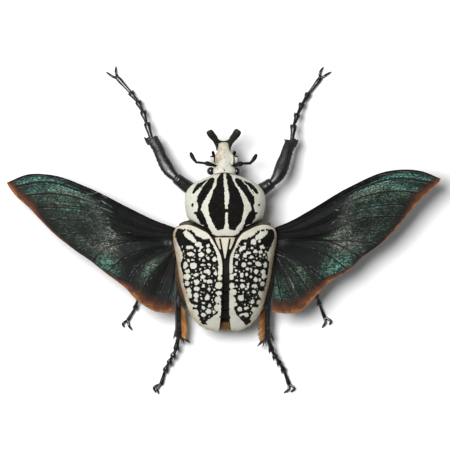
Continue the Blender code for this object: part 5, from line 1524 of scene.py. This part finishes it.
def shin_pieces(spec, out, fore):
    """A shin that meets the thigh at a rounded knee, with its teeth, end spurs and raised lines or a knobbed
    edge.
    """
    knee, last = spec["knee"], np.array(spec["tibia"][-1][:3])
    face = mitre(spec)
    wide, high = spec["knee_size"]
    swell = FORE_SWELL if fore else 1.0
    bar = [at(knee + face * (0.5 * GAP), 0.85 * wide, 0.85 * high)]
    bar += [station[:3] + (swell * station[3], station[4]) for station in spec["tibia"]]
    pieces = [limb("shin", bar, sides=36, start=face, end=spec["tarsus"][0] - last),
              egg("condyle", knee, (0.78 * wide, 0.78 * wide, 0.8 * high))]
    for name, bow in (("teeth", -0.1), ("spurs", 0.25)):
        pieces += [spine(name, *point, bow=(0, 0, bow), sides=16) for point in spec[name]]
    line = path(bar)(np.linspace(0.08, 0.94, 9))
    across = unit(np.cross(np.gradient(line[:, :3], axis=0), UP))
    if fore:
        outer = out * np.sign(across[4, 0])
        pieces.append(egg("corner", last + across[8] * outer + (0, 0, -0.2), (1.75, 1.7, 1.0)))
        for k in range(1, 8):
            place = line[k, :3] + across[k] * outer * (line[k, 3] - 0.12)
            pieces.append(egg("knob", place, (0.34, 0.34, 0.3), segments=16, rings=10))
    else:
        for share in (-0.55, 0.55):
            crest = line[:, :3] + across * (share * line[:, 3:4]) + np.array(UP) * (0.78 * line[:, 4:5])
            pieces.append(limb("crest", [at(place, 0.22, 0.24) for place in crest], sides=12))
    return pieces


def foot_pieces(spec, out, fore):
    """A foot of five flared segments with end spines, two hooked claws and a bristle between them."""
    inward = out * (1 if fore else -1)
    joints = spec["tarsus"]
    last = np.array(spec["tibia"][-1][:3])
    joints[0] = last + unit(joints[0] - last) * GAP
    waist, flare = spec["tarsus_size"]
    longer = (0.15, 1.1) if fore else (0.6, 1.28)
    pieces = []
    for k in range(FOOT_SEGMENTS):
        root, end = joints[k], joints[k + 1]
        reach = end - root
        final = k == FOOT_SEGMENTS - 1
        swell = flare * (0.85 if final else 1.08 - 0.05 * k)
        side = unit(np.cross(reach, UP))
        slim = (1.05 if k == 0 else 0.8) * waist
        stations = []
        for share, grown in ((-0.1, 0.0), (0.15, 0.08), (0.5, 0.45), (0.85, 1.0), (1.0, 0.75)):
            girth = slim + grown * (swell - slim)
            centre = root + share * reach - side * inward * (0.0 if final else 0.12)
            stations.append(at(centre, girth, 0.75 * girth))
        pieces.append(limb("segment", stations, rows=28, start=reach, end=reach))
        if final:
            continue
        step = unit(reach)
        for sign, beyond, off in ((inward,) + longer, (-inward, -0.05, 1.05)):
            base = end - step * 1.5 + side * sign * 0.45 * swell
            tip = end + step * beyond + side * sign * off * flare + (0, 0, -0.25)
            pieces.append(spine("spine", base, tip, 0.62 * swell))
    foot, along = joints[-1], unit(joints[-1] - joints[-2])
    for bow, tip in spec["claws"]:
        bow, tip = np.array(bow + (1.3,)), np.array(tip + (0.24,))
        late = bow + 0.6 * (tip - bow)
        claw = [at(foot - along * 0.6, 0.6, 0.5), at(bow, 0.54, 0.48), (late[0], late[1], 0.75, 0.46, 0.4),
                at(tip, 0.2, 0.2)]
        pieces.append(limb("claw", claw, sides=18, rows=30))
    bristle = foot + along * 1.1
    pieces.append(spine("bristle", foot - along * 0.3, (bristle[0], bristle[1], 0.9), 0.2, sides=8))
    return pieces


# Hair

HAIR_SHARES = (0.0, 0.38, 0.72)
HAIR_POINTS = 10
BROWN_HAIR = ("brown_hair", (0.03, 0.012, 0.006), (0.13, 0.05, 0.018), (0.26, 0.12, 0.045))
PILE_HAIR = ("pile_hair", (0.002, 0.002, 0.002), (0.004, 0.006, 0.005), (0.035, 0.055, 0.045))


def columns(*values):
    """Rows of coordinates, from arrays or single numbers."""
    return np.stack(np.broadcast_arrays(*values), axis=1)


def hair_piece(name, roots, headings, lengths, patches, paint, slot, bend=(0, 0, 0), width=None, tones=None,
               seed=SEED):
    """Many fine three-sided tapered hairs in one mesh; headings and lengths in millimetres, one each."""
    width = (width or sizes().hair_width) / MM
    count = len(roots)
    headings = unit(headings)
    side = unit(np.cross(headings, (0.31, 0.17, 1.0)))
    up = np.cross(side, headings)
    lengths = lengths[:, None]
    rings = []
    for share in HAIR_SHARES:
        centre = roots + headings * (lengths * share) + np.array(bend) * (lengths * share ** 2)
        girth = 0.5 * width * (1 - 0.75 * share)
        for turn in (0, 2 * math.pi / 3, 4 * math.pi / 3):
            rings.append(centre + girth * (math.cos(turn) * side + math.sin(turn) * up))
    rings.append(roots + (headings + np.array(bend)) * lengths)
    faces = [(0, 2, 1)]
    for corner, after in ((0, 1), (1, 2), (2, 0)):
        faces += [(ring + corner, ring + after, ring + 3 + after, ring + 3 + corner) for ring in (0, 3)]
        faces.append((6 + corner, 6 + after, 9))
    every = [tuple(base + corner for corner in face) for base in range(0, HAIR_POINTS * count, HAIR_POINTS)
             for face in faces]
    mesh = bpy.data.meshes.new(name)
    mesh.from_pydata(np.stack(rings, axis=1).reshape(-1, 3) * MM, [], every)
    piece = bpy.data.objects.new(name, mesh)
    bpy.context.scene.collection.objects.link(piece)
    edit(piece, face_outwards)
    shares = np.array([share for share in HAIR_SHARES for _ in range(3)] + [1.0])
    stamp(piece, "tip", np.tile(shares, count))
    tones = np.random.default_rng(seed).random(count) if tones is None else tones
    stamp(piece, "tone", np.repeat(tones, HAIR_POINTS))
    spread = np.array([-0.0015, 0.0, 0.0015] * 3 + [0.0])
    uv = np.repeat(patches, HAIR_POINTS, axis=0) + np.tile(columns(spread, shares * 0.003), (count, 1))
    corners = np.empty(len(mesh.loops), dtype=np.int64)
    mesh.loops.foreach_get("vertex_index", corners)
    layer = mesh.uv_layers.new(name="OFBake")
    layer.data.foreach_set("uv", np.clip(uv, 0, 1)[corners].astype(np.float32).ravel())
    mesh.shade_smooth()
    dress(piece, paint, slot)


def golden_paint():
    gold = np.array(colours().hair_gold)
    return hair_paint("golden_hair", gold * 0.4, gold, (0.72, 0.46, 0.2))


def make_fringe(side):
    """The dense golden fringe along the inner side of a hind tibia."""
    leg = "hind_" + side
    rng = np.random.default_rng(SEED + len(leg))
    count, locks = sizes().fringe_hairs, 28
    inward = -SIDES[side]
    share = np.sort(rng.uniform(0.03, 0.97, count))
    x, y, z, wide, high = path(LEGS[leg]["tibia"])(share).T
    level = rng.uniform(-0.75, 0.75, count)
    roots = columns(x + inward * wide * 0.8 * np.sqrt(1 - level ** 2), y, z + level * high)
    lock = (share * (locks - 1)).astype(int)
    lean = 0.8 + rng.uniform(-0.16, 0.16, locks)[lock] + rng.uniform(-0.1, 0.1, count)
    tones = np.clip(rng.uniform(0.1, 0.7, locks)[lock] + rng.uniform(0, 0.35, count), 0, 1)
    headings = columns(inward, lean, -0.1 + 0.35 * level + rng.normal(0, 0.07, count))
    full = np.sin(math.pi * np.clip(0.16 + 0.72 * share, 0, 1)) ** 0.6
    lengths = sizes().fringe_length / MM * full * rng.uniform(0.93, 1.04, locks)[lock]
    lengths = lengths * rng.uniform(0.86, 1.0, count) * np.sqrt(1 + 0.8 * lean ** 2)
    hair_piece("fringe_" + leg, roots, headings, lengths, columns(0.4 + 0.35 * level, 0.05 + 0.9 * share),
               golden_paint(), "black_shell", bend=(0, 0.16, -0.06), tones=tones)


def make_fore_fringe(side):
    """A thin golden fringe inside the base of a fore tibia."""
    leg = "fore_" + side
    rng = np.random.default_rng(SEED + 31)
    count = 700
    share = rng.uniform(0.0, 0.3, count)
    x, y, z, wide, high = path(LEGS[leg]["tibia"])(share).T
    level = rng.uniform(-0.6, 0.6, count)
    roots = columns(x - SIDES[side] * wide * 0.8, y - 0.3, z + level * high)
    headings = columns(-SIDES[side], rng.uniform(-1.4, -0.8, count), rng.normal(0, 0.2, count))
    lengths = rng.uniform(0.6, 0.9, count) * (1.1 - share)
    hair_piece("fringe_" + leg, roots, headings, lengths, columns(0.3 + 0.3 * level, 0.05 + 0.9 * share),
               golden_paint(), "black_shell", seed=SEED + 6)


def side_patches(sign, level, y):
    return columns(0.1 + 0.3 * level + (0.5 if sign > 0 else 0.0), y / 40.0)


def make_side_hair(side):
    """Short orange-brown hair that shows past the edge of a wing cover."""
    sign, count = SIDES[side], 3400
    rng = np.random.default_rng(SEED + 2 + sign)
    y = rng.uniform(3.0, 34.0, count)
    level = rng.uniform(0, 1, count)
    roots = columns(sign * (back_half_width(y) - CORE_INSET - 0.1), y, back_margin(y) - 1.0 + 0.35 * level)
    headings = columns(sign, rng.uniform(0.1, 0.8, count), rng.normal(0.0, 0.05, count))
    full = np.clip((y - 2.0) / 5.0, 0.3, 1) * np.clip((36.0 - y) / 8.0, 0.3, 1)
    lengths = (2.9 + 1.5 * rng.random(count)) * (0.55 + 0.45 * full)
    hair_piece("side_hair_" + side, roots, headings, lengths, side_patches(sign, level, y),
               hair_paint(*BROWN_HAIR), "body_shell", seed=SEED + 7)


def make_pile(side):
    """The dark pile that hangs from the body's side over the wing's rear corner."""
    sign, count = SIDES[side], 5200
    rng = np.random.default_rng(SEED + 12 + sign)
    y = rng.uniform(8.0, 31.5, count)
    level = rng.uniform(0, 1, count)
    roots = columns(sign * (back_half_width(y) - 2.4), y, back_margin(y) - 1.2 - 1.2 * level)
    headings = columns(sign * rng.uniform(0.35, 1.0, count), 1.1, rng.normal(-0.05, 0.08, count))
    full = np.clip((y - 2.0) / 14.0, 0.55, 1) * np.clip((36.5 - y) / 9.0, 0.5, 1)
    hair_piece("pile_" + side, roots, headings, rng.uniform(3.4, 6.6, count) * full,
               side_patches(sign, level, y), hair_paint(*PILE_HAIR), "body_shell", bend=(0, 0.3, 0),
               width=0.00018, seed=SEED + 10)


def make_tail_hair():
    """Ochre hair on the tail plate, seen between the tips of the wing covers."""
    rng = np.random.default_rng(SEED + 41)
    count = 2400
    x = rng.uniform(-9.0, 9.0, count)
    y = rng.uniform(41.2, 43.8, count) - 0.012 * x ** 2
    roots = columns(x, y, back_height(x, y + 1.2) - CORE_CLEARANCE - 0.6)
    headings = columns(x * 0.03 + rng.normal(0, 0.12, count), 1, rng.normal(-0.45, 0.08, count))
    lengths = rng.uniform(1.6, 2.6, count)
    patches = columns(0.5 + x / 24.0, (y - 38.0) / 8.0)
    hair_piece("tail_hair", roots, headings, lengths, patches, golden_paint(), "body_shell",
               tones=rng.uniform(0.0, 0.4, count))


def make_belly_hair(name, source, count, low, high):
    """Sparse brown hair over the underside of a trunk piece, leaning back."""
    rng = np.random.default_rng(SEED + count)
    piece = bpy.data.objects[source]
    points, normals = read_points(piece), fetch(piece.data.vertex_normals, "vector")
    fit = np.flatnonzero((points[:, 2] < high) & (points[:, 2] > low) & (normals[:, 2] < 0.25))
    chosen = rng.choice(fit, count, replace=len(fit) < count)
    roots = points[chosen] - normals[chosen] * 0.12
    headings = normals[chosen] * 0.8 + (0, 1.1, 0) + rng.normal(0, 0.22, (count, 3))
    lengths = rng.uniform(0.9, 2.1, count)
    patches = columns(0.5 + roots[:, 0] / 60.0, (roots[:, 1] + 30.0) / 80.0)
    hair_piece(name, roots, headings, lengths, patches, hair_paint(*BROWN_HAIR), "body_shell", seed=SEED + 9)


# Stage

VIEW_WIDTH = 0.2025
VIEW_CENTRE_Y = -0.00236
BACK_LEVEL = 0.017
LENS = 600.0
SENSOR = 36.0
KEY_PLACE = (0.25, -0.14, 0.83)
KEY_AIM = (0, 0, 0.015)
KEY_SIZE = 0.38
KEY_POWER = 9.6


def studio_world():
    """Pale walls under a dark ceiling, so that black surfaces facing up stay black."""
    world = bpy.data.worlds.new("studio")
    world.use_nodes = True
    wires = Wiring(world.node_tree)
    heading = wires.node("TexCoord").outputs["Generated"]
    height = wires.node("SeparateXYZ", {0: heading}).outputs["Z"]
    background = world.node_tree.nodes["Background"].inputs
    background["Color"].default_value = (1.0, 1.0, 1.0, 1.0)
    wires.feed(background["Strength"], wires.spread(height, 0.55, 0.9, 0.33, 0.02))
    return world


def make_stage():
    floor = added("studio_floor", bpy.ops.mesh.primitive_plane_add, size=3.0, location=(0, 0, 0))
    floor.data.materials.append(pale_floor())
    scene = bpy.context.scene
    scene.world = studio_world()
    key = added("key_light", bpy.ops.object.light_add, type="AREA", location=KEY_PLACE)
    key.data.shape = "RECTANGLE"
    key.data.size = key.data.size_y = KEY_SIZE
    key.data.energy = KEY_POWER
    key.rotation_euler = (Vector(KEY_AIM) - Vector(KEY_PLACE)).to_track_quat("-Z", "Y").to_euler()
    distance = VIEW_WIDTH * LENS / SENSOR
    camera = added("Camera", bpy.ops.object.camera_add, rotation=(0, 0, math.pi),
                   location=(0, VIEW_CENTRE_Y, distance + BACK_LEVEL))
    camera.data.lens = LENS
    camera.data.sensor_width = SENSOR
    camera.data.clip_start = 0.05
    camera.data.clip_end = 20.0
    scene.camera = camera
    scene.view_settings.view_transform = "Standard"


# Operators

class BEETLE_OT_stage(bpy.types.Operator):
    """Pale floor, soft studio light and the camera straight above"""
    bl_idname = "beetle.stage"
    bl_label = "Stage"

    def execute(self, context):
        make_stage()
        return {"FINISHED"}


class BEETLE_OT_pronotum(bpy.types.Operator):
    """The broad shield behind the head, with its black marks"""
    bl_idname = "beetle.pronotum"
    bl_label = "Pronotum"

    def execute(self, context):
        make_pronotum()
        return {"FINISHED"}


class BEETLE_OT_scutellum(bpy.types.Operator):
    """The long triangle between the wing covers"""
    bl_idname = "beetle.scutellum"
    bl_label = "Scutellum"

    def execute(self, context):
        make_scutellum()
        return {"FINISHED"}


class BEETLE_OT_wing_covers(bpy.types.Operator):
    """Both spotted wing covers"""
    bl_idname = "beetle.wing_covers"
    bl_label = "Wing Covers"

    def execute(self, context):
        for side in SIDES:
            make_elytron(side)
        return {"FINISHED"}


class BEETLE_OT_head(bpy.types.Operator):
    """The pale head, its palps and jaws, and the eyes"""
    bl_idname = "beetle.head"
    bl_label = "Head"

    def execute(self, context):
        make_head()
        make_eyes()
        return {"FINISHED"}


class BEETLE_OT_horn(bpy.types.Operator):
    """The forked black horn"""
    bl_idname = "beetle.horn"
    bl_label = "Horn"

    def execute(self, context):
        make_horn()
        return {"FINISHED"}


class BEETLE_OT_feelers(bpy.types.Operator):
    """Both feelers with their leaved clubs"""
    bl_idname = "beetle.feelers"
    bl_label = "Feelers"

    def execute(self, context):
        for side in SIDES:
            make_antenna(side)
        return {"FINISHED"}


class BEETLE_OT_trunk(bpy.types.Operator):
    """The underside plates, the thorax and the abdomen"""
    bl_idname = "beetle.trunk"
    bl_label = "Trunk"

    def execute(self, context):
        make_prosternum()
        make_thorax()
        make_abdomen()
        return {"FINISHED"}


class BEETLE_OT_wings(bpy.types.Operator):
    """Both spread hind wings"""
    bl_idname = "beetle.wings"
    bl_label = "Wings"

    def execute(self, context):
        for side in SIDES:
            make_wing(side)
        return {"FINISHED"}


class BEETLE_OT_legs(bpy.types.Operator):
    """The thigh, shin and foot of each leg"""
    bl_idname = "beetle.legs"
    bl_label = "Legs"

    def execute(self, context):
        for leg in LEGS:
            make_leg(leg)
        return {"FINISHED"}


class BEETLE_OT_leg_hair(bpy.types.Operator):
    """Golden fringes of the hind and fore tibiae"""
    bl_idname = "beetle.leg_hair"
    bl_label = "Leg Hair"

    def execute(self, context):
        for side in SIDES:
            make_fringe(side)
            make_fore_fringe(side)
        return {"FINISHED"}


class BEETLE_OT_body_hair(bpy.types.Operator):
    """Hair beside the wing covers, on the tail plate and on the underside"""
    bl_idname = "beetle.body_hair"
    bl_label = "Body Hair"

    def execute(self, context):
        for side in SIDES:
            make_side_hair(side)
            make_pile(side)
        make_tail_hair()
        make_belly_hair("chest_hair", "prosternum_plates", 1600, 8.0, 17.0)
        make_belly_hair("belly_hair", "thorax_plates", 3000, 5.0, 15.5)
        return {"FINISHED"}


class BEETLE_PT_panel(bpy.types.Panel):
    """Sizes, colours and pieces of the beetle"""
    bl_idname = "BEETLE_PT_panel"
    bl_label = "Goliath Beetle"
    bl_space_type = "VIEW_3D"
    bl_region_type = "UI"
    bl_category = "Beetle"

    def draw(self, context):
        column = self.layout.column()
        for group in (context.scene.beetle_sizes, context.scene.beetle_colours):
            for key in group.bl_rna.properties.keys():
                if key not in ("name", "rna_type"):
                    column.prop(group, key)
        for piece in PIECES:
            column.operator(piece.bl_idname)


PIECES = (BEETLE_OT_stage, BEETLE_OT_pronotum, BEETLE_OT_scutellum, BEETLE_OT_wing_covers, BEETLE_OT_head,
          BEETLE_OT_horn, BEETLE_OT_feelers, BEETLE_OT_trunk, BEETLE_OT_wings, BEETLE_OT_legs,
          BEETLE_OT_leg_hair, BEETLE_OT_body_hair)
CLASSES = (BeetleSizes, BeetleColours) + PIECES + (BEETLE_PT_panel,)


def register():
    for kind in CLASSES:
        bpy.utils.register_class(kind)
    bpy.types.Scene.beetle_sizes = PointerProperty(type=BeetleSizes)
    bpy.types.Scene.beetle_colours = PointerProperty(type=BeetleColours)


def unregister():
    del bpy.types.Scene.beetle_colours
    del bpy.types.Scene.beetle_sizes
    for kind in reversed(CLASSES):
        bpy.utils.unregister_class(kind)


def main():
    register()
    bpy.ops.beetle.stage()
    bpy.ops.beetle.pronotum()
    bpy.ops.beetle.scutellum()
    bpy.ops.beetle.wing_covers()
    bpy.ops.beetle.head()
    bpy.ops.beetle.horn()
    bpy.ops.beetle.feelers()
    bpy.ops.beetle.trunk()
    bpy.ops.beetle.wings()
    bpy.ops.beetle.legs()
    bpy.ops.beetle.leg_hair()
    bpy.ops.beetle.body_hair()


if __name__ == "__main__":
    main()
